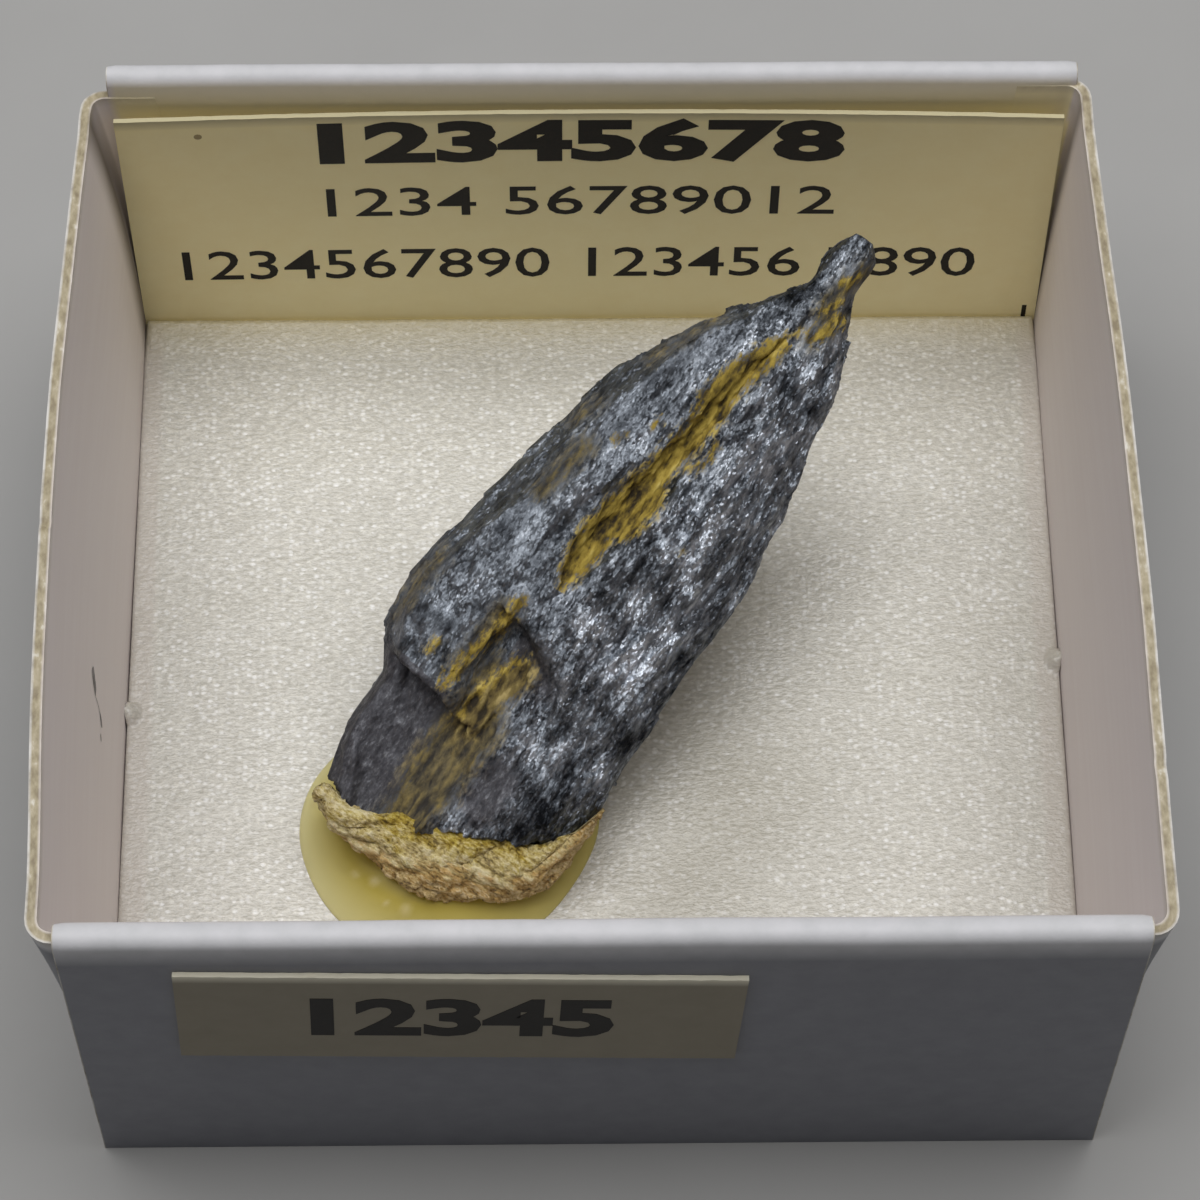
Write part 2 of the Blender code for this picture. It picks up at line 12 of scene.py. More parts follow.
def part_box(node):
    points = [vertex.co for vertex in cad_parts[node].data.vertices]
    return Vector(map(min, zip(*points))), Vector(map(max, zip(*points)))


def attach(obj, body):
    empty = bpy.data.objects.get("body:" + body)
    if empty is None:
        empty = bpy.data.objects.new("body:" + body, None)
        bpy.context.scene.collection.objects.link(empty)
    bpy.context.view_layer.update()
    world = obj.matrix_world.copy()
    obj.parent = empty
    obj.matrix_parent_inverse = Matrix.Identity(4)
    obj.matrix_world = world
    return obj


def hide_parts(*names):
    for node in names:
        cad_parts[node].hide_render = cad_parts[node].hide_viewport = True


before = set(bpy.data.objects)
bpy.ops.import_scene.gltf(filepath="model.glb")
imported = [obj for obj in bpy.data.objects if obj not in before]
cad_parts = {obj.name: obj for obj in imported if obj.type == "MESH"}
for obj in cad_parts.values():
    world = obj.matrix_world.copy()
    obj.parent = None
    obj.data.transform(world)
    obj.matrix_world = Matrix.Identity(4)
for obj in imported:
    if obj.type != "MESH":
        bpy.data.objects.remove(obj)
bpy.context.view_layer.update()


# ---- Camera, floor and light ----------------------------------------------------------------------------
# The box stands on a plain pale table under one broad soft light, which hangs above it and a little to the
# back, as over a copy stand. A dim grey room fills the shadows.

MM = 0.001
foam_low, foam_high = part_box("foam_pad")
tray_low, tray_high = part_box("tray")
BOX_MIDDLE = Vector(((foam_low.x + foam_high.x) / 2, (tray_low.y + tray_high.y) / 2, 0.0))

CAMERA_AZIMUTH = math.radians(-1.492)
CAMERA_ELEVATION = math.radians(61.661)
CAMERA_ROLL = math.radians(0.940)
CAMERA_TARGET = Vector((0.163, 0.044, 10.0)) * MM
CAMERA_DISTANCE = 167.839 * MM
LENS = 123.965                       # millimetres, on a 36 mm sensor


def srgb(text):
    """Turn a colour like "#c8b490" into the linear numbers that shaders use."""
    parts = [int(text[i:i + 2], 16) / 255 for i in (1, 3, 5)]
    return (*[p / 12.92 if p <= 0.04045 else ((p + 0.055) / 1.055) ** 2.4 for p in parts], 1.0)


def fill(made, sockets):
    """Give each socket of a node its number, its colour or a link from another node's output."""
    for name, value in sockets.items():
        if isinstance(value, bpy.types.NodeSocket):
            tree.links.new(value, made.inputs[name])
        else:
            made.inputs[name].default_value = srgb(value) if isinstance(value, str) else value


def node(kind, *values, give=0, stops=(), **options):
    """Add a node to the material at hand and return one of its outputs. The kind can name an operation too.

    Values fill the sockets that are in use, in order. An option with a capital letter fills the socket of
    that name, and any other is one of the node's settings. Stops are the places and colours of a ramp.
    """
    kind, _, operation = kind.partition(" ")
    made = tree.nodes.new("ShaderNode" + kind)
    if operation:
        made.operation = operation
    for name in options:
        if name[0].islower():
            setattr(made, name, options[name])
    in_use = [place for place, socket in enumerate(made.inputs) if socket.enabled]
    fill(made, dict(zip(in_use, values)))
    fill(made, {name: value for name, value in options.items() if name[0].isupper()})
    for place, (position, colour) in enumerate(stops):
        stop = made.color_ramp.elements[place] if place < 2 else made.color_ramp.elements.new(position)
        stop.position = position
        stop.color = srgb(colour)
    if isinstance(give, str):
        return made.outputs[give]
    return [socket for socket in made.outputs if socket.enabled][give]


def new_material(name):
    """Start a material. Its node tree and its Principled shader become the ones at hand."""
    global tree, shader
    material = bpy.data.materials.new(name)
    material.use_nodes = True
    tree = material.node_tree
    shader = tree.nodes["Principled BSDF"]
    return material


def millimetres():
    """The place on the object at hand, in millimetres."""
    return node("VectorMath SCALE", node("TexCoord", give="Object"), Scale=1 / MM)


def clouds(where, size, detail=2.0, roughness=0.5, give="Fac"):
    """Cloudy noise whose lumps have this size in millimetres: one number, or one for each axis."""
    sizes = size if isinstance(size, tuple) else (size, size, size)
    scaled = node("Mapping", where, Scale=tuple(1 / length for length in sizes))
    return node("TexNoise", scaled, Scale=1.0, Detail=detail, Roughness=roughness, give=give)


camera_data = bpy.data.cameras.new("camera")
camera_data.lens = LENS
camera_data.sensor_width = 36.0
camera_data.clip_start = 0.01
camera = bpy.data.objects.new("camera", camera_data)
bpy.context.scene.collection.objects.link(camera)
camera_back = Vector((math.sin(CAMERA_AZIMUTH) * math.cos(CAMERA_ELEVATION),
                      -math.cos(CAMERA_AZIMUTH) * math.cos(CAMERA_ELEVATION), math.sin(CAMERA_ELEVATION)))
camera.matrix_world = (Matrix.Translation(BOX_MIDDLE + CAMERA_TARGET + camera_back * CAMERA_DISTANCE)
                       @ camera_back.to_track_quat("Z", "Y").to_matrix().to_4x4()
                       @ Matrix.Rotation(CAMERA_ROLL, 4, "Z"))
bpy.context.scene.camera = camera
bpy.context.scene.view_settings.view_transform = "Standard"

KEY_LIGHT_FROM = Vector((-0.01, 0.038, 0.36))      # metres
KEY_LIGHT_SIZE = (0.38, 0.25)
KEY_LIGHT_POWER = 1.36
ROOM_COLOUR = srgb("#c9ccd6")
ROOM_STRENGTH = 0.07

key_data = bpy.data.lights.new("soft_light", "AREA")
key_data.shape = "RECTANGLE"
key_data.size, key_data.size_y = KEY_LIGHT_SIZE
key_data.energy = KEY_LIGHT_POWER
key_light = bpy.data.objects.new("soft_light", key_data)
key_light.location = KEY_LIGHT_FROM
key_light.rotation_euler = KEY_LIGHT_FROM.to_track_quat("Z", "Y").to_euler()
bpy.context.scene.collection.objects.link(key_light)

world = bpy.data.worlds.new("room")
world.use_nodes = True
room = world.node_tree.nodes["Background"]
room.inputs["Color"].default_value = ROOM_COLOUR
room.inputs["Strength"].default_value = ROOM_STRENGTH
bpy.context.scene.world = world

# Matt painted board: pale grey, with hardly any mottle and no shine.
BOARD_MOTTLE = 1000 / 60             # millimetres across
table_material = new_material("matt_painted_board")
mottle = clouds(millimetres(), BOARD_MOTTLE, detail=4.0)
tone = node("ValToRGB", mottle, stops=((0.3, "#a6a5a3"), (0.7, "#acaba9")))
fill(shader, {"Base Color": tone, "Roughness": 0.8})
TABLE_REACH = 1.5                    # metres, each way
TABLE_DROP = 0.00002                 # it stays just clear of the card
table_mesh = bpy.data.meshes.new("table")
corners = [(x * TABLE_REACH, y * TABLE_REACH, -TABLE_DROP) for x, y in ((-1, -1), (1, -1), (1, 1), (-1, 1))]
table_mesh.from_pydata(corners, [], [(0, 1, 2, 3)])
table = bpy.data.objects.new("table", table_mesh)
table_mesh.materials.append(table_material)
bpy.context.scene.collection.objects.link(table)


# ---- Card tray ------------------------------------------------------------------------------------------
# One sheet of white clay-coated grey board, cut and folded. Its side walls are single card that bulges out
# and turns in at the corners; the front and back walls are rolled over double, with those tabs inside.

BOX_WIDTH = 40.0                     # from here on, lengths are in millimetres in the box's own frame
BOX_DEPTH = 39.2
BOX_HEIGHT = 20.25
CARD = 0.45
ROLLED_WALL = 1.0
ROLLED_CARD = 0.40
BACK_WALL_TRIM = 0.25
CORNER_RADIUS = 1.0
SIDE_WALL_DROP = 0.6
TAB_INSET = 0.42
TAB_REACH = 3.0
LEFT_FLARE = (0.90, 1.18, 0.45)      # how far the top stands out: back end, front end, extra at the middle
RIGHT_FLARE = (0.30, 1.15, 0.26)
LEFT_BACK_DIP = 0.7
RIGHT_BACK_DIP = 0.1
CARD_WARP = 0.05                     # the card is not quite flat
RIM_WEAR = 0.05                      # how ragged the cut edges are
FRONT_SWELL = 0.16                   # the rolled top is fatter than the wall below, on the inside
BACK_SWELL = 0.03


def ramp(value, low, high):
    """How far a value has come on the way from low to high: from 0 to 1."""
    return np.minimum(np.maximum((value - low) / (high - low), 0.0), 1.0)


def grid_faces(rows, columns, closed=False):
    """Quads between rows of points that follow each other, each row a loop if closed."""
    across = np.arange(columns if closed else columns - 1)
    following = (across + 1) % columns
    start = np.arange(rows - 1)[:, None] * columns
    return np.stack([start + across, start + following, start + columns + following,
                     start + columns + across], axis=-1).reshape(-1, 4).tolist()


def tube_faces(rows, columns):
    """The faces of a tube through rows of points, each row a loop, and of its two ends."""
    ends = [list(range(columns)), list(range((rows - 1) * columns, rows * columns))[::-1]]
    return grid_faces(rows, columns, closed=True) + ends


def add_mesh(name, points, faces, material, smooth=True):
    """Make an object of a mesh given in millimetres in the box's own frame."""
    mesh = bpy.data.meshes.new(name)
    places = np.asarray(points, float) * MM + np.array(BOX_MIDDLE)
    mesh.from_pydata(places.tolist(), [], faces)
    mesh.materials.append(material)
    if smooth:
        mesh.shade_smooth()
    made = bpy.data.objects.new(name, mesh)
    bpy.context.scene.collection.objects.link(made)
    return made


def set_values(mesh, name, values):
    """Store a number, or three, for each point of the mesh, for its material to read."""
    values = np.asarray(values, np.float32)
    kind = "FLOAT" if values.ndim == 1 else "FLOAT_VECTOR"
    attribute = mesh.attributes.new(name, kind, "POINT")
    attribute.data.foreach_set("value" if values.ndim == 1 else "vector", values.ravel())


def wall_flare(flare, y, z):
    """How far a side wall stands out from upright at this place."""
    back, front, middle = flare
    along = (BOX_DEPTH / 2 - y) / BOX_DEPTH
    swell = math.sin(math.pi * min(max(along, 0.0), 1.0))
    steepness = 3.0 - 1.4 * swell
    return (back + (front - back) * along + middle * swell) * (max(z, 0.0) / BOX_HEIGHT) ** steepness


def side_wall(side, flare, back_dip, nicks):
    """A wall of single card from one tab to the other: its points, its faces and where its cut edge is."""
    front_y = -BOX_DEPTH / 2 + TAB_INSET
    back_y = BOX_DEPTH / 2 - TAB_INSET - 0.2
    turns, lengths, heights, across = 7, 110, 40, 5
    stations = [("front tab", share) for share in np.linspace(0.0, 1.0, 6)[:-1]]
    stations += [("front turn", share) for share in np.linspace(0.0, 1.0, turns)]
    stations += [("wall", share) for share in np.linspace(0.0, 1.0, lengths)[1:-1]]
    stations += [("back turn", share) for share in np.linspace(0.0, 1.0, turns)]
    stations += [("back tab", share) for share in np.linspace(0.0, 1.0, 6)[1:]]
    top = BOX_HEIGHT - SIDE_WALL_DROP
    loop = [(0.0, z) for z in np.linspace(0.0, top, heights)]
    loop += [(depth, top) for depth in np.linspace(0.0, 1.0, across)[1:-1]]
    loop += [(1.0, z) for z in np.linspace(top, 0.0, heights)]
    points, edge, inside = [], [], []
    for part, share in stations:
        for depth, z in loop:
            inset = CARD * depth
            radius = CORNER_RADIUS - inset
            if part in ("front tab", "front turn"):
                x = BOX_WIDTH / 2 + wall_flare(flare, front_y, z)
                turn = math.pi / 2 * (share if part == "front turn" else 0.0)
                reach = TAB_REACH - CORNER_RADIUS if part == "front tab" else 0.0
                x += radius * math.sin(turn) - CORNER_RADIUS - reach * (1 - share)
                y = front_y + CORNER_RADIUS - radius * math.cos(turn)
            elif part == "wall":
                y = front_y + CORNER_RADIUS + share * (back_y - front_y - 2 * CORNER_RADIUS)
                flare_y = front_y + ramp(share, 0.04, 0.96) * (back_y - front_y)
                x = BOX_WIDTH / 2 + wall_flare(flare, flare_y, z) - inset
                x += CARD_WARP * noise.noise(Vector((y / 7.0, z / 9.0, side * 3.0))) * z / BOX_HEIGHT
            else:
                x = BOX_WIDTH / 2 + wall_flare(flare, back_y, z)
                turn = math.pi / 2 * (share if part == "back turn" else 1.0)
                reach = TAB_REACH - CORNER_RADIUS if part == "back tab" else 0.0
                x += radius * math.cos(turn) - CORNER_RADIUS - reach * share
                y = back_y - CORNER_RADIUS + radius * math.sin(turn)
            height = z * (1.0 - back_dip / BOX_HEIGHT * ramp(y, 8.0, 19.0) ** 2)
            worn = max(0.0, (z - top + 0.5) / 0.5)
            height += worn * RIM_WEAR * (noise.noise(Vector((y / 0.35, side * 7.0, depth * 0.8)))
                                         + 1.2 * noise.noise(Vector((y / 4.0, side * 2.0, 0.0))))
            for nick_y, nick_depth in nicks:
                height -= worn * nick_depth * max(0.0, 1.0 - abs(y - nick_y) / 0.35)
            points.append((side * x, y, height))
            edge.append(1.0 if z == top and 0.0 < depth < 1.0 else (0.45 if z == top else 0.0))
            inside.append(depth)
    return points, tube_faces(len(stations), len(loop)), edge, inside


def rolled_wall(sign, half_width, seed, swell):
    """A wall of card bent over a tight roll along its top, swept along the box."""
    outer_y = BOX_DEPTH / 2
    radius = ROLLED_WALL / 2
    middle = outer_y - radius
    inner_radius = radius - ROLLED_CARD
    steps, heights = 10, 16
    top = BOX_HEIGHT - radius
    profile = [(outer_y, z, 0.0) for z in np.linspace(0.0, top, heights)[:-1]]
    for i in range(steps + 1):
        turn = math.pi * i / steps
        inner = max(0.0, i / steps - 0.75) * 3.2
        profile.append((middle + radius * math.cos(turn), top + radius * math.sin(turn), inner))
    profile += [(outer_y - ROLLED_WALL, z, 1.0) for z in np.linspace(top, 0.0, heights)[1:]]
    profile += [(outer_y - ROLLED_WALL + ROLLED_CARD, z, 0.0) for z in np.linspace(0.0, top, 4)[:-1]]
    for i in range(5):
        turn = math.pi * i / 4
        profile.append((middle - inner_radius * math.cos(turn), top + inner_radius * math.sin(turn), 0.0))
    profile += [(outer_y - ROLLED_CARD, z, 0.0) for z in np.linspace(top, 0.0, 4)[1:]]
    near_end = half_width - 0.06
    xs = np.concatenate([[-half_width], np.linspace(-near_end, near_end, 130), [half_width]])
    points, edge, inside = [], [], []
    for x in xs:
        from_end = half_width - abs(x)
        pinch = 0.3 * max(0.0, 1.0 - from_end / 0.5) ** 2
        for y, z, face in profile:
            rise = (z / BOX_HEIGHT) ** 6
            y -= swell * rise * max(0.0, (middle - y) / radius)
            lift = rise * (0.07 * noise.noise(Vector((x / 8.0, seed, 0.0)))
                           + 0.018 * noise.noise(Vector((x / 0.9, seed, 3.0))) - 0.16 * pinch)
            lean = 0.05 * rise * noise.noise(Vector((x / 10.0, seed, 5.0)))
            toward = (middle - y) * 0.35 * pinch * rise
            points.append((x, sign * (y - 0.02 - abs(lean) + toward), z + lift))
            edge.append(1.0 if from_end < 1e-6 else 0.0)
            inside.append(face)
    return points, tube_faces(len(xs), len(profile)), edge, inside


card_points, card_faces, card_edge, card_inside = [], [], [], []
panels = [side_wall(-1, LEFT_FLARE, LEFT_BACK_DIP, ((-1.5, 0.22),)),
          side_wall(1, RIGHT_FLARE, RIGHT_BACK_DIP, ((-12.3, 0.25),)),
          rolled_wall(-1, BOX_WIDTH / 2, 1.0, FRONT_SWELL),
          rolled_wall(1, BOX_WIDTH / 2 - BACK_WALL_TRIM, 2.0, BACK_SWELL)]
base = [(x, y, z) for z in (0.0, CARD) for x in (-19.8, 19.8) for y in (-19.3, 19.3)]
panels.append((base, [(0, 1, 3, 2), (4, 6, 7, 5), (0, 4, 5, 1), (2, 3, 7, 6), (0, 2, 6, 4), (1, 5, 7, 3)],
               [0.0] * 8, [1.0] * 8))
for points, faces, edge, inside in panels:
    start = len(card_points)
    card_points += points
    card_faces += [[start + i for i in face] for face in faces]
    card_edge += edge
    card_inside += inside

# Clay-coated board: satin white, plainer and pinker inside, with a tan grey core where it is cut. Painted
# shade greys its outer faces and darkens the inner folds, and painted yellow light from the label lies on
# the back wall's inside.
PAPER_MOTTLE = 1.2                   # millimetres across
FIBRE = 0.12
CUT_FIBRE = (0.25, 0.5, 0.25)
CALENDER_STREAK = (0.5, 8.0, 0.5)    # faint streaks along the sheet, from the paper mill
card_material = new_material("clay_coated_board")
place = millimetres()
core, inner, painted_outer_shade, painted_fold_shade, painted_back_reflection = [node("Attribute", attribute_name=name, give="Fac") for name in
                                          ("cut_edge", "inner_face", "painted_outer_shade", "painted_fold_shade", "painted_back_reflection")]
cloudy = clouds(place, PAPER_MOTTLE, detail=5.0, roughness=0.6)
outside = node("ValToRGB", cloudy, stops=((0.3, "#c9c9cb"), (0.7, "#d5d4d7")))
# Painted shade: the grey tone of the outer faces below the rolled tops
shaded_outer_tone = node("ValToRGB", cloudy, stops=((0.3, "#85868d"), (0.7, "#8e8f96")))
streaky = clouds(place, CALENDER_STREAK, detail=4.0)
lining = node("ValToRGB", streaky, stops=((0.3, "#ebe1e0"), (0.7, "#eee5e4")))
# Painted yellow light reflected from the label onto the back wall's inner face
lining = node("Mix", painted_back_reflection, lining, "#fff4cc", data_type="RGBA")
grey_core = node("ValToRGB", clouds(place, CUT_FIBRE, detail=5.0),
                 stops=((0.32, "#8d8067"), (0.48, "#a79b7f"), (0.62, "#b9ad92"), (0.76, "#e2ddd0")))
white_ply = node("ValToRGB", inner, stops=((0.10, "#ffffff"), (0.26, "#303030"),
                                           (0.80, "#202020"), (0.92, "#a0a0a0")))
ply_left = node("Math MULTIPLY", white_ply, node("MapRange", cloudy, 0.38, 0.62))
cut = node("Mix", ply_left, grey_core, "#e0dcd2", data_type="RGBA")
outside_with_shade = node("Mix", painted_outer_shade, outside, shaded_outer_tone, data_type="RGBA")
faces_of_it = node("Mix", inner, outside_with_shade, lining, data_type="RGBA")
# Painted shade along the inner folds, in dark brown
folded = node("Mix", painted_fold_shade, faces_of_it, "#54483c", data_type="RGBA")
tooth = node("Bump", Height=clouds(place, FIBRE, detail=3.0), Strength=0.25, Distance=0.02 * MM)
worn = node("Mix", core, folded, cut, data_type="RGBA")
fill(shader, {"Base Color": worn, "Roughness": 0.55, "Specular IOR Level": 0.35, "Normal": tooth})

card_tray = add_mesh("card_tray", card_points, card_faces, card_material)
card_tray.data.set_sharp_from_angle(angle=math.radians(50))
set_values(card_tray.data, "cut_edge", card_edge)
set_values(card_tray.data, "inner_face", card_inside)
PAINTED_SHADE_TO = 19.15                   # millimetres up: the painted shade stops here, the rolled tops stay bright
WEAKER_SHADE_OFF_FRONT = 0.5                        # the painted shade is weaker on the sides and the back than on the front
LEFT_CREASE = (0.85, 1.5, 1.85)      # painted shade along the inner fold: how dark, how wide, how far from the back
RIGHT_CREASE = (0.65, 0.9, 1.5)
RIGHT_LINING_SHADE = 0.06            # painted shade: the right wall's lining is a little darker
xs, ys, zs = np.array(card_points).T
depths = np.array(card_inside)
outer_face = (np.abs(ys) > BOX_DEPTH / 2 - 0.25) | (depths < 0.5)
wave = np.array([0.12 * noise.noise(Vector((x / 2.5, y / 2.5, 4.0))) for x, y, z in card_points])
# Painted shade on the outer faces: full on the front, half on the sides and the back, below the rolled tops
outer_shade_strength = 1.0 - WEAKER_SHADE_OFF_FRONT * ramp(ys, -19.0, -14.0)
below_roll = ramp(PAINTED_SHADE_TO + wave - zs, 0.0, 0.5)
set_values(card_tray.data, "painted_outer_shade", np.where(outer_face, outer_shade_strength * below_roll, 0.0))
# Painted reflection of the label on the back wall's inner face, fading towards the rolled top
at_back = ramp(ys, 17.9, 18.3) * (np.abs(xs) < 19.6)
set_values(card_tray.data, "painted_back_reflection", at_back * ramp(zs, 20.6, 19.4))
# Painted shade along the inner folds near the back, and a little over the right wall's lining
dark, wide, from_back = np.where(xs[:, None] < 0, LEFT_CREASE, RIGHT_CREASE).T
from_fold = np.abs(ys - (BOX_DEPTH / 2 - TAB_INSET - from_back))
shade = dark * ramp(from_fold, wide, 0.0) * (ys < 18.3)
lining_shade = np.maximum(shade, RIGHT_LINING_SHADE * (xs > 19.0)) * (depths > 0.5)
set_values(card_tray.data, "painted_fold_shade", lining_shade)
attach(card_tray, "root")
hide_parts("tray")

# Pencil lead: a dark grey smear that was rubbed into the lining of the left wall.
LEAD_GRAIN = 0.2                     # millimetres across
pencil_material = new_material("rubbed_pencil_lead")
rubbed = clouds(millimetres(), LEAD_GRAIN, detail=4.0)
tone = node("ValToRGB", rubbed, stops=((0.35, "#4c4a4b"), (0.65, "#9a9292")))
fill(shader, {"Base Color": tone, "Roughness": 0.6})
# Each stroke is a line of (Y, Z, half width), laid on the wall's inner face
SMEARS = (((-3.5, 11.2, 0.05), (-3.8, 11.1, 0.40), (-4.0, 11.03, 0.50), (-4.33, 10.9, 0.30),
           (-4.5, 10.7, 0.12)),
          ((-4.5, 10.65, 0.06), (-4.56, 10.2, 0.20), (-4.7, 9.5, 0.26), (-4.95, 9.25, 0.30),
           (-5.15, 9.2, 0.08)),
          ((-5.5, 9.25, 0.05), (-5.65, 9.2, 0.13), (-5.8, 9.18, 0.05)))
SMEAR_DEPTH = 0.012
SMEAR_SLANT = 0.3                    # its strokes lean this much
TO_LEFT_WALL = Vector((-1.0, 0.0, 0.0))
card_surface = BVHTree.FromPolygons(card_points, card_faces)
points, faces = [], []
for smear in SMEARS:
    smear = np.array(smear)
    places = np.linspace(0, len(smear) - 1, 10 * len(smear))
    centres = [np.interp(places, range(len(smear)), smear[:, axis]) for axis in range(3)]
    faces += (np.array(grid_faces(len(places), 5)) + len(points)).tolist()
    for y, z, half in zip(*centres):
        for aside in np.linspace(-half, half, 5):
            inside_box = Vector((0.0, y + SMEAR_SLANT * aside, z + aside))
            points.append(card_surface.ray_cast(inside_box, TO_LEFT_WALL)[0] - SMEAR_DEPTH * TO_LEFT_WALL)
smear_mesh = add_mesh("pencil_smear", points, faces, pencil_material)
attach(smear_mesh, "root")


# ---- Foam pad -------------------------------------------------------------------------------------------
# A pad of white expanded polyethylene, sliced from a sheet. Its skin is a net of small flattened cells,
# drawn out across the box, whose thin walls glint like pearl.

FOAM_TOP = 3.4
FOAM_WIDTH = 39.08
FOAM_FRONT = -18.2
FOAM_BACK = 17.5
FOAM_FOOT = CARD + 0.05
FOAM_EDGE = 0.09
FOAM_STEP = 0.14                     # spacing of the points of its mesh
BLISTER = (0.62, 0.40)               # a low swelling over a few cells, along X and along Y
BLISTER_RELIEF = 0.035
CUT_STRIP = 0.9                      # the sides were pressed smooth where the sheet was cut
TUFTS = ((-1, -1.6), (1, 0.6))       # a torn tuft stands against each side wall: side, Y
TUFT_RADIUS = 0.55
TUFT_HEIGHT = 0.50
TUFT_REACH = 0.16                    # it leans out over the edge
BACK_CURL = (2.2, 0.36)              # the pad curls up against the label: over this depth, this much

half = FOAM_WIDTH / 2
columns = int(FOAM_WIDTH / FOAM_STEP)
rows = int((FOAM_BACK - FOAM_FRONT) / FOAM_STEP)
xs = np.linspace(-half, half, columns)
ys = np.linspace(FOAM_FRONT, FOAM_BACK, rows)
points, pressed = [], []
for y in ys:
    for x in xs:
        near = min(half - abs(x), y - FOAM_FRONT)
        rounded = max(0.0, 1.0 - near / FOAM_EDGE)
        cell = noise.voronoi(Vector((x / BLISTER[0], y / BLISTER[1], 0.0)))
        dome = min(cell[0][1] - cell[0][0], 0.6) - 0.3
        lump = 0.05 * noise.noise(Vector((x / 3.0, y / 2.2, 0.4)))
        from_cut = half - abs(x) - 0.012 * (FOAM_BACK - y)
        open_cells = ramp(from_cut, CUT_STRIP * 2 / 3, CUT_STRIP)
        height = BLISTER_RELIEF * dome * open_cells + lump - 0.05
        height += BACK_CURL[1] * ramp(FOAM_BACK - y, BACK_CURL[0], 0.0) ** 2
        height = height * (1 - rounded) - FOAM_EDGE * rounded ** 2
        reach = fluffy = 0.0
        for side, tuft_y in TUFTS:
            tuft = max(0.0, 1.0 - math.hypot(x - side * half, y - tuft_y) / TUFT_RADIUS)
            torn = 1.0 + 0.6 * noise.noise(Vector((x / 0.1, y / 0.1, 5.0)))
            height += TUFT_HEIGHT * tuft ** 0.5 * torn
            reach += side * TUFT_REACH * tuft
            fluffy = max(fluffy, tuft)
        points.append((x + reach, y, FOAM_TOP + height))
        pressed.append((1.0 - open_cells) * (1.0 - fluffy))
faces = grid_faces(rows, columns)
rim = list(range(columns)) + [columns - 1 + columns * i for i in range(1, rows)]
rim += [columns * rows - 1 - i for i in range(1, columns)]
rim += [columns * (rows - 1 - i) for i in range(1, rows - 1)]
start = len(points)
points += [(points[i][0], points[i][1], FOAM_FOOT) for i in rim]
count = len(rim)
faces += [(rim[i], start + i, start + (i + 1) % count, rim[(i + 1) % count]) for i in range(count)]
faces.append([start + i for i in range(count)][::-1])

# Expanded polyethylene: translucent off-white cells, painted glints as crisp white flecks where a wall
# stands up, and a waxy glint. Painted yellow light from the label lies beside it, and painted shadow right
# of the crystal.
CELL = (0.34, 0.17, 0.34)            # millimetres: the drawn-out cells
FINE_CELL = (0.17, 0.13, 0.17)
BEAD = (0.27, 0.20, 0.27)            # a round painted glint on a cell wall
CLUSTER = 1.6                        # of cells whose painted glints lie together
foam_material = new_material("expanded_polyethylene")
place = millimetres()
pressed_here, label_reflection_here, painted_shadow_here = [node("Attribute", attribute_name=name, give="Fac")
                                      for name in ("pressed", "painted_label_reflection", "painted_shadow")]
coarse_walls = clouds(place, CELL, roughness=0.6)
fine_walls = clouds(place, FINE_CELL, roughness=0.6)
walls = node("Math MULTIPLY_ADD", coarse_walls, 0.62, node("Math MULTIPLY", fine_walls, 0.38))
tone = node("ValToRGB", walls, stops=((0.36, "#bab7ad"), (0.47, "#c6c3ba"),
                                      (0.57, "#d1cec5"), (0.68, "#e3e1d8")))
beads = node("TexVoronoi", node("Mapping", place, Scale=tuple(1 / length for length in BEAD)), Scale=1.0)
chance = node("SeparateColor", beads.node.outputs["Color"])
chance = node("Math MULTIPLY_ADD", clouds(place, CLUSTER, detail=3.0), 0.8, chance)
# Painted glints: white spots mixed into the colour where a cell wall would catch the light
painted_glint = node("Math MULTIPLY", node("MapRange", beads, 0.56, 0.20), node("MapRange", chance, 0.85, 1.30))
tone = node("Mix", node("Math MULTIPLY", painted_glint, 0.62), tone, "#ffffff", data_type="RGBA")
tone = node("Mix", node("Math MULTIPLY", pressed_here, 0.6), tone, "#c4bcb3", data_type="RGBA")
# Painted yellow light reflected from the label
tone = node("Mix", label_reflection_here, tone, "#cdbd86", data_type="RGBA")
# Painted shadow of the crystal and painted shade, in dark olive grey
tone = node("Mix", painted_shadow_here, tone, "#71684f", data_type="RGBA")
skin = node("Bump", Height=walls, Strength=0.8, Distance=0.09 * MM)
fill(shader, {"Base Color": tone, "Roughness": 0.32, "Specular IOR Level": 0.6, "Normal": skin})

foam = add_mesh("foam_skin", points, faces, foam_material)
set_values(foam.data, "pressed", pressed + [1.0] * count)
LABEL_REFLECTION = (0.65, 2.4)             # painted yellow light reflected from the label: how much, and how far it reaches
painted_label_reflection = [LABEL_REFLECTION[0] * ramp(FOAM_BACK - y, LABEL_REFLECTION[1], 0.0) ** 2 for x, y, z in points]
set_values(foam.data, "painted_label_reflection", painted_label_reflection)
PAINTED_SHADOW_LINE = ((1.5, -13.5), (5.5, -5.5))   # painted shadow of the crystal on the foam beside it, to the right
PAINTED_SHADOW_REACH = 3.8
PAINTED_SHADOW_MOST = 0.36
PAINTED_SHADE_SPREAD = 0.09                   # painted shade: a little over the front half, more at the right, and at the back
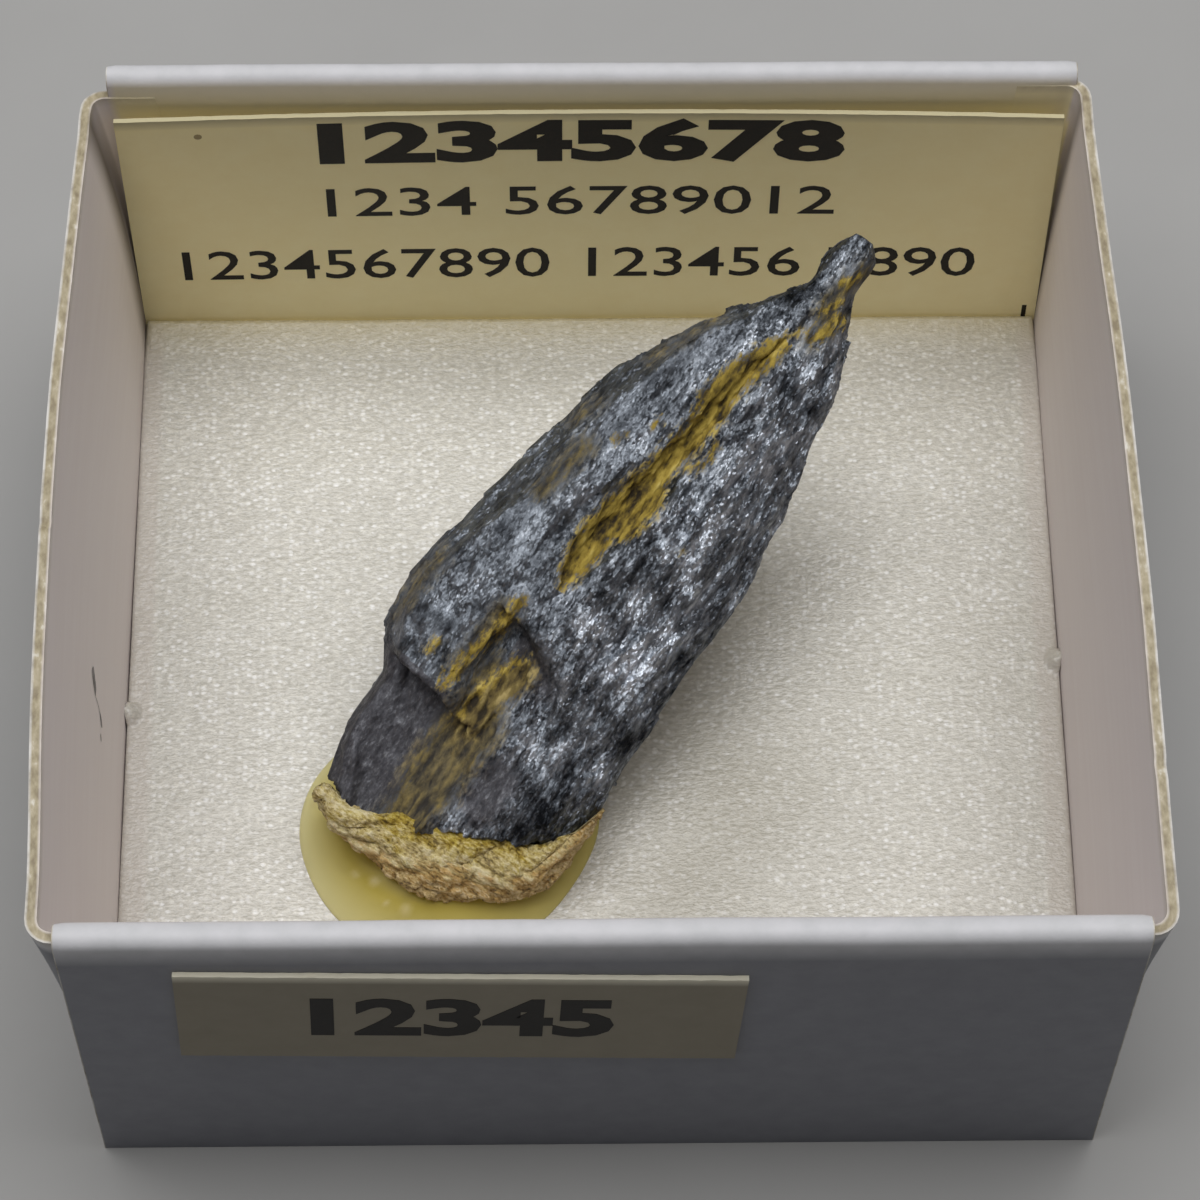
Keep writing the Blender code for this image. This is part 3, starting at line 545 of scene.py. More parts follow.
# Painted shadow: strongest along the crystal's right side, with painted shade spread wider
painted_shadow = []
start, end = (Vector(at) for at in PAINTED_SHADOW_LINE)
for x, y, z in points:
    at = Vector((x, y)) - start
    along = min(max(at.dot(end - start) / (end - start).length_squared, 0.0), 1.0)
    away = (at - (end - start) * along).length / PAINTED_SHADOW_REACH
    at_front = ramp(y, 9.0, 1.0) * (1.0 + 1.2 * ramp(x, 1.0, 10.0))
    spread_shade = at_front + 0.8 * ramp(y, 11.0, 16.0) * ramp(x, -8.0, 0.0)
    painted_shadow.append(PAINTED_SHADOW_MOST * math.exp(-away ** 2) + PAINTED_SHADE_SPREAD * spread_shade)
set_values(foam.data, "painted_shadow", painted_shadow)
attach(foam, "root")
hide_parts("foam_pad")


# ---- Locality label -------------------------------------------------------------------------------------
# A cream index card stood on edge behind the foam, bowed back a little. It is printed in black toner with
# three lines of plain figures, a stray dot and a short dash.

LABEL_THICKNESS = 0.2
BACK_LABEL_WIDTH = 38.6
BACK_LABEL_TOP = 18.5
BACK_LABEL_FOOT = 0.75
BACK_LABEL_FOOT_Y = 17.58
BACK_LABEL_LEAN = 0.12
BACK_LABEL_BOW = 0.36
INK = 0.012                          # how far the toner stands off the card
PULP_CLOUD = 1.5                     # millimetres across
PULP_FIBRE = 0.15
# Each printed line: figures, left end, right end, foot, height, extra weight
BACK_LINES = (("12345678", -11.3, 10.45, 15.15, 3.0, 0.06),
              ("1234 56789012", -11.15, 10.25, 11.4, 2.05, 0.004),
              ("1234567890 123456 7890", -17.55, 16.55, 6.75, 2.2, 0.004))


def label_front(x, z):
    """Where the front face of the bowed card is."""
    rise = (z - BACK_LABEL_FOOT) / (BACK_LABEL_TOP - BACK_LABEL_FOOT)
    bow = 1 - (x / (BACK_LABEL_WIDTH / 2)) ** 2
    return BACK_LABEL_FOOT_Y + rise * (BACK_LABEL_LEAN + BACK_LABEL_BOW * max(bow, 0.0))


def sheet_of_card(width, height, columns, rows, thickness, edge_wear):
    """A thin card from its lower left corner: points (across, up, depth from its front) and faces."""
    loop = [(0.0, up) for up in np.linspace(0.0, height, rows)]
    loop += [(0.5, height)] + [(1.0, up) for up in np.linspace(height, 0.0, rows)] + [(0.5, 0.0)]
    points = []
    for x in np.linspace(0.0, width, columns):
        for depth, up in loop:
            ragged = edge_wear * noise.noise(Vector((x / 0.4, up * 0.3, depth * 2.0)))
            at_edge = 1.0 if up in (0.0, height) else 0.0
            points.append((x, up + ragged * at_edge, depth * thickness))
    edge = [1.0 if 0.0 < depth < 1.0 or up == height else 0.0 for depth, up in loop] * columns
    return np.array(points), tube_faces(columns, len(loop)), edge


def printed_line(figures, left, right, foot, height, weight):
    """The flat solid figures of one printed line: points (across, up, stand off) and faces."""
    text = bpy.data.curves.new("figures", "FONT")
    text.body = figures
    text.size = height / 0.72
    text.offset = weight * height
    text.extrude = INK
    text.resolution_u = 3
    carrier = bpy.data.objects.new("figures", text)
    bpy.context.scene.collection.objects.link(carrier)
    bpy.context.view_layer.update()
    flat = bpy.data.meshes.new_from_object(carrier.evaluated_get(bpy.context.evaluated_depsgraph_get()))
    points = np.array([vertex.co for vertex in flat.vertices])
    faces = [list(polygon.vertices) for polygon in flat.polygons]
    bpy.data.objects.remove(carrier)
    bpy.data.meshes.remove(flat)
    low, high = points.min(axis=0), points.max(axis=0)
    points[:, 0] = left + (points[:, 0] - low[0]) * (right - left) / (high[0] - low[0])
    points[:, 1] = foot + (points[:, 1] - low[1]) * height / (high[1] - low[1])
    return points, faces


def printed_label(name, card, prints, place, paper, ink, faint=None):
    """Join a card and what is printed on it into one object, set down by the place function."""
    points, faces, edge = card
    all_points = [place(x, up, depth) for x, up, depth in points]
    edges = list(edge)
    materials = [0] * len(faces)
    faded = [0.0] * len(all_points)
    for index, (line_points, line_faces) in enumerate(prints):
        faded += [1.0 if index == faint else 0.0] * len(line_points)
        start = len(all_points)
        all_points += [place(x, up, -off) for x, up, off in line_points]
        faces = faces + [[start + i for i in face] for face in line_faces]
        materials += [1] * len(line_faces)
        edges += [0.0] * len(line_points)
    label = add_mesh(name, all_points, faces, paper, smooth=False)
    label.data.materials.append(ink)
    label.data.polygons.foreach_set("material_index", materials)
    set_values(label.data, "cut_edge", edges)
    set_values(label.data, "faded", faded)
    return label


def paper_material(name, deep, pale, cut_tone):
    """Matt uncoated paper: a soft cloudy tint, fine fibres in its surface, and a paler cut edge."""
    material = new_material(name)
    place = millimetres()
    cloudy = clouds(place, PULP_CLOUD, detail=6.0, roughness=0.65)
    tone = node("ValToRGB", cloudy, stops=((0.3, deep), (0.7, pale)))
    at_cut = node("Attribute", attribute_name="cut_edge", give="Fac")
    tone = node("Mix", at_cut, tone, cut_tone, data_type="RGBA")
    tooth = node("Bump", Height=clouds(place, PULP_FIBRE, detail=3.0), Strength=0.3, Distance=0.02 * MM)
    fill(shader, {"Base Color": tone, "Roughness": 0.75, "Specular IOR Level": 0.3, "Normal": tooth})
    return material


# Black toner: nearly black with a warm cast, slightly glossier than the paper under it.
TONER_SPECK = 0.1                    # millimetres across
toner = new_material("black_toner")
speckle = clouds(millimetres(), TONER_SPECK)
tone = node("ValToRGB", speckle, stops=((0.3, "#0f0b06"), (0.75, "#1d160c")))
tone = node("Mix", node("Attribute", attribute_name="faded", give="Fac"), tone, "#a8986f", data_type="RGBA")
fill(shader, {"Base Color": tone, "Roughness": 0.5, "Specular IOR Level": 0.2})

index_card = paper_material("cream_index_card", "#fceeb8", "#fff3c0", "#c2b996")
LEFT_EXTRA = 0.25                    # it reaches into the left corner
locality_card = sheet_of_card(BACK_LABEL_WIDTH + LEFT_EXTRA, BACK_LABEL_TOP - BACK_LABEL_FOOT, 90, 30,
                              LABEL_THICKNESS, 0.03)
locality_card[0][:, :2] += (-BACK_LABEL_WIDTH / 2 - LEFT_EXTRA, BACK_LABEL_FOOT)
FOOT_SPREAD = 0.3                    # its right edge slants outward towards the foot


def in_the_back(x, up, depth):
    """Where a point of the locality card is, in the box."""
    foot = 1.0 - (up - BACK_LABEL_FOOT) / (BACK_LABEL_TOP - BACK_LABEL_FOOT)
    spread_x = x + FOOT_SPREAD * foot * ramp(x, 17.0, 19.3)
    return spread_x, label_front(x, up) + depth, up


prints = [printed_line(*line) for line in BACK_LINES]
STRAY_DOT = (-16.2, 17.35, 0.17)     # X, Z and radius
STRAY_DASH = (18.75, 3.4, 18.93, 4.45)             # its lower left and upper right corners
turns = [2 * math.pi * i / 12 for i in range(12)]
x, z, radius = STRAY_DOT
dot = [(x + radius * math.cos(turn), z + radius * math.sin(turn)) for turn in turns]
left, low, right, high = STRAY_DASH
dash = [(left, low), (right, low), (right, high), (left, high)]
for outline in (dot, dash):
    count = len(outline)
    mark = np.array([(x, z, -INK) for x, z in outline] + [(x, z, INK) for x, z in outline])
    sides = [[i, (i + 1) % count, count + (i + 1) % count, count + i] for i in range(count)]
    prints.append((mark, [list(range(count))[::-1], list(range(count, 2 * count))] + sides))
FAINT_MARK = len(BACK_LINES)         # the dot is only a faint brown speck
locality_label = printed_label("locality_card", locality_card, prints,
                               in_the_back, index_card, toner, FAINT_MARK)
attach(locality_label, "root")
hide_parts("locality_label")


# ---- Number label ---------------------------------------------------------------------------------------
# A strip of cream paper glued flat on the front wall, a little askew, with a plain number printed on it.

NUMBER_LABEL_WIDTH = 21.2
NUMBER_LABEL_HEIGHT = 7.6
NUMBER_LABEL_CENTRE = (-5.35, 13.75)
NUMBER_LABEL_TURN = math.radians(-2.0)
NUMBER_LABEL_STAND = 0.19            # its face, out from the card
NUMBER_FIGURES = ("12345", 5.0, 16.4, 2.1, 3.6, 0.055)


def on_front_wall(x, up, depth):
    """Where a point of the number label is, on the front of the box."""
    across, above = x - NUMBER_LABEL_WIDTH / 2, up - NUMBER_LABEL_HEIGHT / 2
    cosine, sine = math.cos(NUMBER_LABEL_TURN), math.sin(NUMBER_LABEL_TURN)
    return (NUMBER_LABEL_CENTRE[0] + across * cosine - above * sine,
            -BOX_DEPTH / 2 - NUMBER_LABEL_STAND + depth,
            NUMBER_LABEL_CENTRE[1] + above * cosine + across * sine)


# Painted shade: the face of the cream paper is darkened to grey brown, as the front wall stands in shadow
label_paper = paper_material("cream_label_paper_in_painted_shade", "#968f7e", "#9d9584", "#f2ecd6")
strip = sheet_of_card(NUMBER_LABEL_WIDTH, NUMBER_LABEL_HEIGHT, 60, 14, LABEL_THICKNESS, 0.05)
number_label = printed_label("number_paper", strip, [printed_line(*NUMBER_FIGURES)],
                             on_front_wall, label_paper, toner)
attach(number_label, "root")
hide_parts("number_label")


# ---- Stibnite -------------------------------------------------------------------------------------------
# One massive bladed lump of antimony sulphide, broken along its cleavage into long glittering flakes. A
# groove down its face and a band below the broken step are filled with earthy yellow antimony ochre.

SPECIMEN_BASE = np.array((-5.35, -9.46, 6.5))
SPECIMEN_LEAN = math.radians(28.0)
SPECIMEN_HEADING = math.radians(55.9)
VOXEL = 0.105                        # of the rebuilt surface
TO_BOX = np.array(Matrix.Rotation(SPECIMEN_LEAN, 3, "X") @ Matrix.Rotation(SPECIMEN_HEADING, 3, "Z"))
# The lower end of the stibnite: distance to the left, distance along
BASE_EDGE = ((-3.7, 4.28), (-3.3, 2.9), (-2.5, 2.0), (-1.9, 1.2), (-0.6, 0.96), (0.9, 0.35),
             (1.7, -0.25), (3.4, -0.44), (4.5, -0.43), (5.3, -0.24), (6.0, 0.0), (6.6, 0.4), (7.9, 1.2))
# The edges of the ochre-filled groove: distance along the crystal, distance to the left of its middle
OCHRE_LEFT = ((10.7, 2.7), (12.0, 3.28), (13.7, 3.35), (15.1, 3.02), (16.8, 2.61), (18.4, 2.3), (19.5, 2.1),
              (20.4, 2.35), (21.3, 2.2), (22.8, 1.65), (23.7, 1.3), (24.1, 1.0))
OCHRE_RIGHT = ((10.7, 2.5), (12.2, 2.1), (13.6, 1.95), (14.0, 1.4), (15.3, 1.1), (16.0, 1.0), (16.6, 1.35),
               (17.7, 1.3), (18.4, 1.1), (20.1, 0.9), (20.8, 0.95), (21.9, 0.78), (22.8, 0.5), (24.1, 0.35))
# Streaks of ochre: a line of (along, left) points and half the streak's width
OCHRE_STREAKS = ((((17.6, 1.0), (18.45, 0.55), (19.2, 0.75)), 0.12), (((24.1, 0.75), (24.7, 0.45)), 0.08),
                 (((9.7, 3.7), (8.4, 3.75), (7.0, 4.15), (5.8, 4.35), (5.1, 4.4)), 0.17),
                 (((6.0, 5.65), (6.3, 5.6)), 0.15), (((17.0, 4.1), (17.4, 3.95)), 0.07),
                 (((18.3, 3.2), (18.7, 3.1)), 0.05), (((14.75, -0.6), (14.9, -0.55)), 0.08),
                 (((24.8, -0.2), (25.3, -0.45), (26.1, -0.65)), 0.22),
                 (((4.5, 3.25), (5.6, 3.1), (6.6, 2.8), (7.8, 2.35)), 0.12),
                 (((27.3, 0.0), (28.0, -0.35)), 0.10), (((25.9, 0.1), (26.6, -0.3)), 0.10))
# Brown and olive films of weathering, in the same way
EARTH_FILMS = ((((-0.4, 2.75), (1.0, 2.75)), 0.95), (((1.5, 2.7), (4.5, 2.55)), 1.2),
               (((13.8, 5.5), (16.2, 5.0)), 0.36),
               (((25.8, -0.1), (27.0, -0.15), (28.2, -0.5)), 0.42), (((7.0, 7.5), (9.3, 7.4)), 0.26),
               (((6.2, 7.6), (7.1, 7.6)), 0.16), (((16.8, 6.1), (18.0, 5.5)), 0.20),
               (((20.5, 4.75), (22.2, 3.95), (23.6, 3.4)), 0.16), (((4.6, 3.4), (6.9, 3.2)), 0.45),
               (((8.9, 3.9), (6.0, 4.3)), 0.38), (((24.6, -0.1), (26.3, -0.7)), 0.30))
TAN_CHUNKS = ((((4.3, 2.75), (5.5, 2.65), (7.2, 2.05)), 0.62),)
# Dull, dark purplish broken ends: the platform under the left slab, the wall beside the ochre, a grey flat
# Their dark tone is partly painted shade, where the step's wall beside the ochre stands in shadow
DULL_AND_SHADED_ENDS = ((((0.5, 5.4), (4.2, 5.6)), 1.9), (((8.1, 3.3), (8.2, 2.2), (7.6, 2.6)), 0.45),
             (((3.9, 3.9), (4.4, 4.8)), 0.5), (((3.1, 0.5), (1.9, 0.5)), 0.85),
             (((8.1, 1.8), (7.2, 0.9)), 0.40))
# The broken step across the face: distance to the left, distance along
STEP_LINE = ((-3.7, 5.15), (1.0, 4.1), (2.8, 3.75), (3.3, 4.1), (3.9, 4.45), (5.3, 4.69), (6.9, 4.9),
             (7.9, 5.3))
# Painted highlight and shade: patches painted lighter or darker, shining more or less: the line, how far it
# fades out to each side, how much
PAINTED_SHEEN = ((((9.0, -1.2), (14.0, -1.4), (20.0, -0.9), (24.0, -0.3)), 2.6, 0.65),
         (((1.5, -1.6), (6.8, -2.2)), 2.4, -0.75), (((4.8, -0.4), (6.7, -2.2), (5.1, -2.9)), 1.0, 0.9),
         (((10.9, 1.9), (10.3, 0.9)), 0.8, 0.9),
         (((10.0, -1.4), (11.8, -2.2)), 0.9, 0.7), (((15.1, 0.8), (14.4, 0.2)), 0.7, 0.8),
         (((12.2, 4.6), (15.5, 3.9), (18.6, 3.0)), 0.9, 0.7), (((20.5, 2.9), (23.4, 1.9)), 0.7, 0.8),
         (((14.0, 4.4), (20.0, 3.2)), 2.2, -0.12), (((8.2, 6.0), (10.2, 5.6)), 1.0, 0.5),
         (((16.8, -0.6), (19.5, -0.9)), 0.8, 0.4), (((28.0, 0.6), (28.9, 0.2)), 0.6, 0.3),
         (((13.2, 0.2), (12.9, -1.0)), 1.0, -0.9), (((22.5, -0.3), (22.3, -1.7)), 0.7, -0.8),
         (((7.0, 6.9), (7.2, 5.4)), 0.6, -1.0), (((21.5, 2.8), (23.4, 2.2)), 0.35, -1.0),
         (((7.5, 4.2), (8.5, 2.9)), 0.8, -0.7), (((16.5, -2.6), (11.0, -3.0), (7.5, -3.2)), 0.8, -0.6),
         (((25.4, 1.6), (26.6, 0.8)), 0.6, -0.8), (((11.2, 6.0), (13.6, 5.4)), 0.5, -0.5),
         (((2.9, -1.9), (1.2, -1.4)), 0.9, -0.4), (((19.8, 4.3), (22.0, 3.5)), 0.4, -0.6))
# The break as flat flakes, in two sizes: seed, (along, across, deep), how much each is raised and tilted
CLEAVAGE = ((7, (3.0, 0.95, 1.1), 0.06, 0.13), (8, (1.0, 0.34, 0.45), 0.022, 0.06))
SCRATCHED = ((9.3, 0.9), (9.1, -2.6))    # fine lines run straight across the crystal here
SCRATCH_PITCH = 0.34
TIP_FROM = 27.2                      # the tip is a blunt knob, fatter on its left
TIP_SWELL = 0.34
WORN_STEP = (7.6, 2.4)               # the step is worn round here: along, and as far left as this
GROOVE_ENDS = (10.7, 24.1)
UPPER_SIDE = -1.2                    # only the side above this height is stained


def fine_copy(node_name, voxel):
    """The CAD solid rebuilt as an even fine mesh in the specimen's own frame, in millimetres."""
    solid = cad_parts[node_name].data
    work = bmesh.new()
    work.from_mesh(solid)
    bmesh.ops.remove_doubles(work, verts=work.verts, dist=1e-7)
    for vertex in work.verts:
        in_box = (np.array(vertex.co) - np.array(BOX_MIDDLE)) / MM
        vertex.co = Vector((in_box - SPECIMEN_BASE) @ TO_BOX)
    rough = bpy.data.meshes.new("rough")
    work.to_mesh(rough)
    work.free()
    carrier = bpy.data.objects.new("rough", rough)
    bpy.context.scene.collection.objects.link(carrier)
    remesh = carrier.modifiers.new("remesh", "REMESH")
    remesh.mode = "VOXEL"
    remesh.voxel_size = voxel
    bpy.context.view_layer.update()
    fine = bpy.data.meshes.new_from_object(carrier.evaluated_get(bpy.context.evaluated_depsgraph_get()))
    bpy.data.objects.remove(carrier)
    bpy.data.meshes.remove(rough)
    points = np.array([vertex.co for vertex in fine.vertices])
    normals = np.array([vertex.vector for vertex in fine.vertex_normals])
    faces = [list(polygon.vertices) for polygon in fine.polygons]
    bpy.data.meshes.remove(fine)
    return points, normals, faces


def flakes(points, seed, size, raised, tilted):
    """Cleavage flakes: cells of this size, each a flat plane that is raised and tilted its own way."""
    dice = np.random.default_rng(seed)
    scaled = points / np.array(size)
    low, high = scaled.min(axis=0) - 0.5, scaled.max(axis=0) + 0.5
    count = int(np.prod(high - low))
    centres = dice.uniform(low, high, (count, 3))
    finder = kdtree.KDTree(count)
    for index, centre in enumerate(centres):
        finder.insert(centre, index)
    finder.balance()
    nearest = np.array([finder.find(point)[1] for point in scaled])
    away = scaled - centres[nearest]
    steps = dice.uniform(-1.0, 1.0, count)
    slopes = dice.uniform(-1.0, 1.0, (count, 3))
    return raised * steps[nearest] + tilted * (away * slopes[nearest]).sum(axis=1)


def lumps_at(points, size, roughness=1.0, octaves=5):
    """Fractal noise at each point, with lumps of this size."""
    places = points / np.array(size)
    return np.array([noise.fractal(Vector(place), roughness, 2.1, octaves) for place in places])


def inside_line(points, line, half_width):
    """How far each point is inside a streak, in millimetres: negative outside it."""
    place = points[:, :2]
    nearest = np.full(len(points), 1e9)
    for first, second in zip(line, line[1:]):
        step = np.array(second) - np.array(first)
        along = np.clip(((place - first) @ step) / (step @ step), 0.0, 1.0)
        away = np.linalg.norm(place - first - along[:, None] * step, axis=1)
        nearest = np.minimum(nearest, away)
    return half_width - nearest


def painted_sheen_at(points):
    """How much painted highlight, above 0, or painted shade, below 0, the break has at each point."""
    found = np.zeros(len(points))
    for line, fade, amount in PAINTED_SHEEN:
        found += amount * ramp(inside_line(points, line, fade), 0.0, fade)
    return np.where(points[:, 2] > UPPER_SIDE, np.clip(found, -1.0, 1.0), 0.0)


def inside_streaks(points, streaks):
    """How far inside the nearest of these streaks each point is. Only the upper side is stained."""
    found = np.full(len(points), -1.0)
    for line, half_width in streaks:
        found = np.maximum(found, inside_line(points, line, half_width))
    return np.where(points[:, 2] > UPPER_SIDE, np.clip(found, -1.0, 1.0), -1.0)


def soften(points, faces, weights, rounds):
    """Round off the mesh: each point moves to the middle of its neighbours, as far as its weight says."""
    corners = np.array([face + face[-1:] * (4 - len(face)) for face in faces])
    ends = np.concatenate([corners[:, [i, (i + 1) % 4]] for i in range(4)])
    ends = np.concatenate([ends, ends[:, ::-1]])
    counts = np.bincount(ends[:, 0], minlength=len(points))[:, None]
    for _ in range(rounds):
        neighbours = points[ends[:, 1]].T
        sums = np.stack([np.bincount(ends[:, 0], values, len(points)) for values in neighbours], axis=1)
        points = points + weights[:, None] * (sums / counts - points)
    return points


points, normals, faces = fine_copy("stibnite", VOXEL)
worn = ramp(np.abs(points[:, 0] - WORN_STEP[0]), 3.0, 1.0) * ramp(WORN_STEP[1] - points[:, 1], 0.0, 0.8)
points = soften(points, faces, worn, 30)
along, left, up = points.T
left_of_groove = np.interp(along, *zip(*OCHRE_LEFT)) - left
right_of_groove = left - np.interp(along, *zip(*OCHRE_RIGHT))
groove = np.minimum(left_of_groove, right_of_groove)
in_groove = (along > GROOVE_ENDS[0]) & (along < GROOVE_ENDS[1]) & (up > 0.2)
groove = np.where(in_groove, np.clip(groove, -1.0, 1.0), -1.0)
ochre = np.maximum(groove, inside_streaks(points, OCHRE_STREAKS))
earth = inside_streaks(points, EARTH_FILMS)
tan = inside_streaks(points, TAN_CHUNKS)
step_along = np.interp(left, *zip(*STEP_LINE))
dull_and_shaded = np.where((along < step_along + 0.4) | (left < 2.9), inside_streaks(points, DULL_AND_SHADED_ENDS), -1.0)
scratched = ramp(inside_line(points, SCRATCHED, 1.7), 0.0, 1.2)

relief = np.zeros(len(points))
for seed, size, raised, tilted in CLEAVAGE:
    relief += flakes(points, seed, size, raised, tilted)
filled = ramp(ochre, -0.125, 0.125)
banded = np.maximum(ramp(earth, -0.15, 0.15), 2.2 * ramp(tan, -0.15, 0.15))
crumbs = lumps_at(points, (1.1, 0.26, 0.35))
swells = np.array([noise.noise(Vector(place)) for place in points / np.array((2.6, 1.1, 1.2))])
relief = relief * (1.0 - 0.6 * filled) + 0.10 * swells
relief += crumbs * (0.015 + 0.17 * filled + 0.07 * banded) + 0.04 * filled
relief *= 1.0 - 0.7 * ramp(dull_and_shaded, -0.15, 0.15)
relief *= np.maximum(ramp(along, 29.4, 26.4), 0.25)          # it is finer at the tip
points = points + normals * relief[:, None]
points[:, 1] += TIP_SWELL * ramp(along, TIP_FROM, TIP_FROM + 1.0) * ramp(normals[:, 1], -0.35, 0.65)
lower_end = np.interp(left, *zip(*BASE_EDGE))
at_end = ramp(along - lower_end, 0.7, 0.0)
ragged_end = np.array([noise.fractal(Vector((point[1] / 0.55, point[2] / 0.8, 2.0)), 1.0, 2.0, 4)
                       for point in points])
set_back = 0.20 * ramp(left, 1.0, 2.0) + 0.65 * ramp(left, 3.2, 4.2)
points[:, 0] += at_end * (0.30 * ragged_end - set_back)

# Stibnite: a lead-grey sulphide with a metal's shine, broken into minute mirrors at all angles, so that a
# few flash and the rest stay dark. Over it lie dull earthy yellow ochre and brown films.
stibnite_material = new_material("stibnite_cleavage")
grain, painted_sheen, crumb_height, scratch_mask = [
    node("Attribute", attribute_name=name, give=give)
    for name, give in (("grain", "Vector"), ("painted_sheen", "Fac"), ("crumbs", "Fac"), ("scratched", "Fac"))]


def facets(where, size, seed, amount, amount_of_few=None):
    """Random tilts, one for each broken grain of this size in millimetres. A few can be tilted more."""
    scaled = node("Mapping", where, Location=(seed, seed, seed), Scale=tuple(1 / length for length in size))
    cells = node("TexVoronoi", scaled, Scale=1.0, give="Color")
    few = node("MapRange", node("SeparateColor", cells, give=2), 0.70, 0.78, amount, amount_of_few or amount)
    return node("VectorMath SCALE", node("VectorMath SUBTRACT", cells, (0.5, 0.5, 0.5)), Scale=few)


frayed = clouds(grain, (0.6, 0.3, 0.35), 6.0, 0.62, give="Color")
frayed = node("VectorMath SUBTRACT", frayed, (0.5, 0.5, 0.5))
place = node("VectorMath ADD", grain, node("VectorMath MULTIPLY", frayed, (0.4, 0.12, 0.15)))
broad_noise = clouds(place, (1.5, 0.75, 0.9), 6.0, 0.62)
blade_noise = clouds(place, (0.75, 0.2, 0.28), 6.0, 0.62)
fine_noise = clouds(grain, (0.42, 0.18, 0.25), 6.0, 0.68)
speck_noise = clouds(grain, (0.11, 0.08, 0.08), 3.0, 0.62)
edge_shift = node("Math MULTIPLY", node("Math SUBTRACT", fine_noise, 0.5), 1.5)


def stain(mask_name, softness):
    """Where a stain lies: 1 inside it, with an edge frayed by the grain."""
    mask = node("Attribute", attribute_name=mask_name, give="Fac")
    return node("MapRange", node("Math ADD", mask, edge_shift), -softness, softness)


ochre_mask = stain("ochre", 0.14)
earth_mask = node("Math MULTIPLY", stain("earth", 0.35), 0.95)
tan_mask = stain("tan", 0.22)
dull_and_shaded_mask = stain("dull_and_shaded", 0.30)

# The metal's tone: patches, blades and grains, painted highlight and shade from the sheen patches, less
# contrast on the left flank
left_flank = node("MapRange", node("SeparateXYZ", grain, give=1), 1.0, 4.0)
calm = node("Math SUBTRACT", 1.12, node("Math MULTIPLY", left_flank, 0.44))
shade = node("Math MULTIPLY", broad_noise, 0.45)
for texture, share in ((blade_noise, 0.25), (fine_noise, 0.30), (painted_sheen, 0.10)):
    shade = node("Math MULTIPLY_ADD", texture, share, shade)
shade = node("Math MULTIPLY_ADD", node("Math SUBTRACT", shade, 0.5), calm, 0.5)
colour = node("ValToRGB", shade, stops=((0.37, "#212327"), (0.45, "#54585e"),
                                        (0.54, "#8a9098"), (0.66, "#d6dce5")))

# Over it: dull broken ends, partly painted shade, earth films, tan crumbs and yellow ochre
dull_and_shaded_tone = node("ValToRGB", fine_noise, stops=((0.35, "#38383d"), (0.55, "#535358"), (0.70, "#7e8085")))
# Partly painted shade: besides their own grain, these tones go darker where the crumbs' relief sinks
crumb_shade = node("Math MULTIPLY_ADD", fine_noise, 0.7, node("Math MULTIPLY_ADD", crumb_height, 0.34, 0.15))
ochre_tone = node("ValToRGB", crumb_shade, stops=((0.26, "#2a200d"), (0.38, "#66551f"), (0.50, "#957f30"),
                                                  (0.66, "#b39b44"), (0.82, "#cdb865")))
earth_tone = node("ValToRGB", crumb_shade, stops=((0.30, "#2c271f"), (0.44, "#514831"), (0.58, "#70633d"),
                                                  (0.78, "#917f48")))
tan_tone = node("ValToRGB", crumb_shade, stops=((0.28, "#2f2716"), (0.42, "#62532e"), (0.56, "#80703f"),
                                                (0.74, "#b09d66")))
for mask, tone in ((dull_and_shaded_mask, dull_and_shaded_tone), (earth_mask, earth_tone),
                   (tan_mask, tan_tone), (ochre_mask, ochre_tone)):
    colour = node("Mix", mask, colour, tone, data_type="RGBA")

covered = node("Math MAXIMUM", ochre_mask, tan_mask)
covered = node("Math MAXIMUM", covered, node("Math MULTIPLY", earth_mask, 0.9))
bare = node("Math SUBTRACT", 1.0, covered, use_clamp=True)
shiny = node("Math MULTIPLY", bare, node("Math SUBTRACT", 1.0, node("Math MULTIPLY", dull_and_shaded_mask, 0.45)))
metal_rough = node("MapRange", speck_noise, 0.52, 0.68, 0.58, 0.32)
metal_rough = node("Math SUBTRACT", metal_rough, node("Math MULTIPLY", painted_sheen, 0.06))
metal_rough = node("Math MAXIMUM", metal_rough, node("Math MULTIPLY", dull_and_shaded_mask, 0.5))
rough = node("MapRange", bare, 0.0, 1.0, 0.88, metal_rough)

# The minute mirrors: cleavage faces in three sizes, each tilted its own way
tilt = facets(place, (2.3, 0.8, 1.0), 5.0, 0.50)
for smaller in (facets(place, (0.48, 0.20, 0.26), 3.0, 0.60, 1.1),
                facets(grain, (0.13, 0.07, 0.09), 8.0, 0.75, 1.5)):
    tilt = node("VectorMath ADD", tilt, smaller)
strength = node("Math MULTIPLY", bare, node("Math SUBTRACT", 1.0, node("Math MULTIPLY", dull_and_shaded_mask, 0.65)))
strength = node("Math MULTIPLY", strength, node("Math MULTIPLY_ADD", painted_sheen, 0.25, calm))
tilt = node("VectorMath SCALE", tilt, Scale=strength)
broken = node("VectorMath NORMALIZE", node("VectorMath ADD", node("NewGeometry", give="Normal"), tilt))
crumb = node("Bump", Height=fine_noise, Strength=node("Math MULTIPLY_ADD", covered, 0.4, 0.25),
             Distance=0.22 * MM, Normal=broken)
line_phase = node("Math MULTIPLY", node("SeparateXYZ", place), 2 * math.pi / SCRATCH_PITCH)
line_wave = node("Math SINE", node("Math MULTIPLY_ADD", broad_noise, 9.0, line_phase))
scratches = node("Bump", Height=node("Math MULTIPLY", line_wave, scratch_mask), Strength=0.5,
                 Distance=0.03 * MM, Normal=crumb)
fill(shader, {"Base Color": colour, "Metallic": shiny, "Roughness": rough, "Normal": scratches})

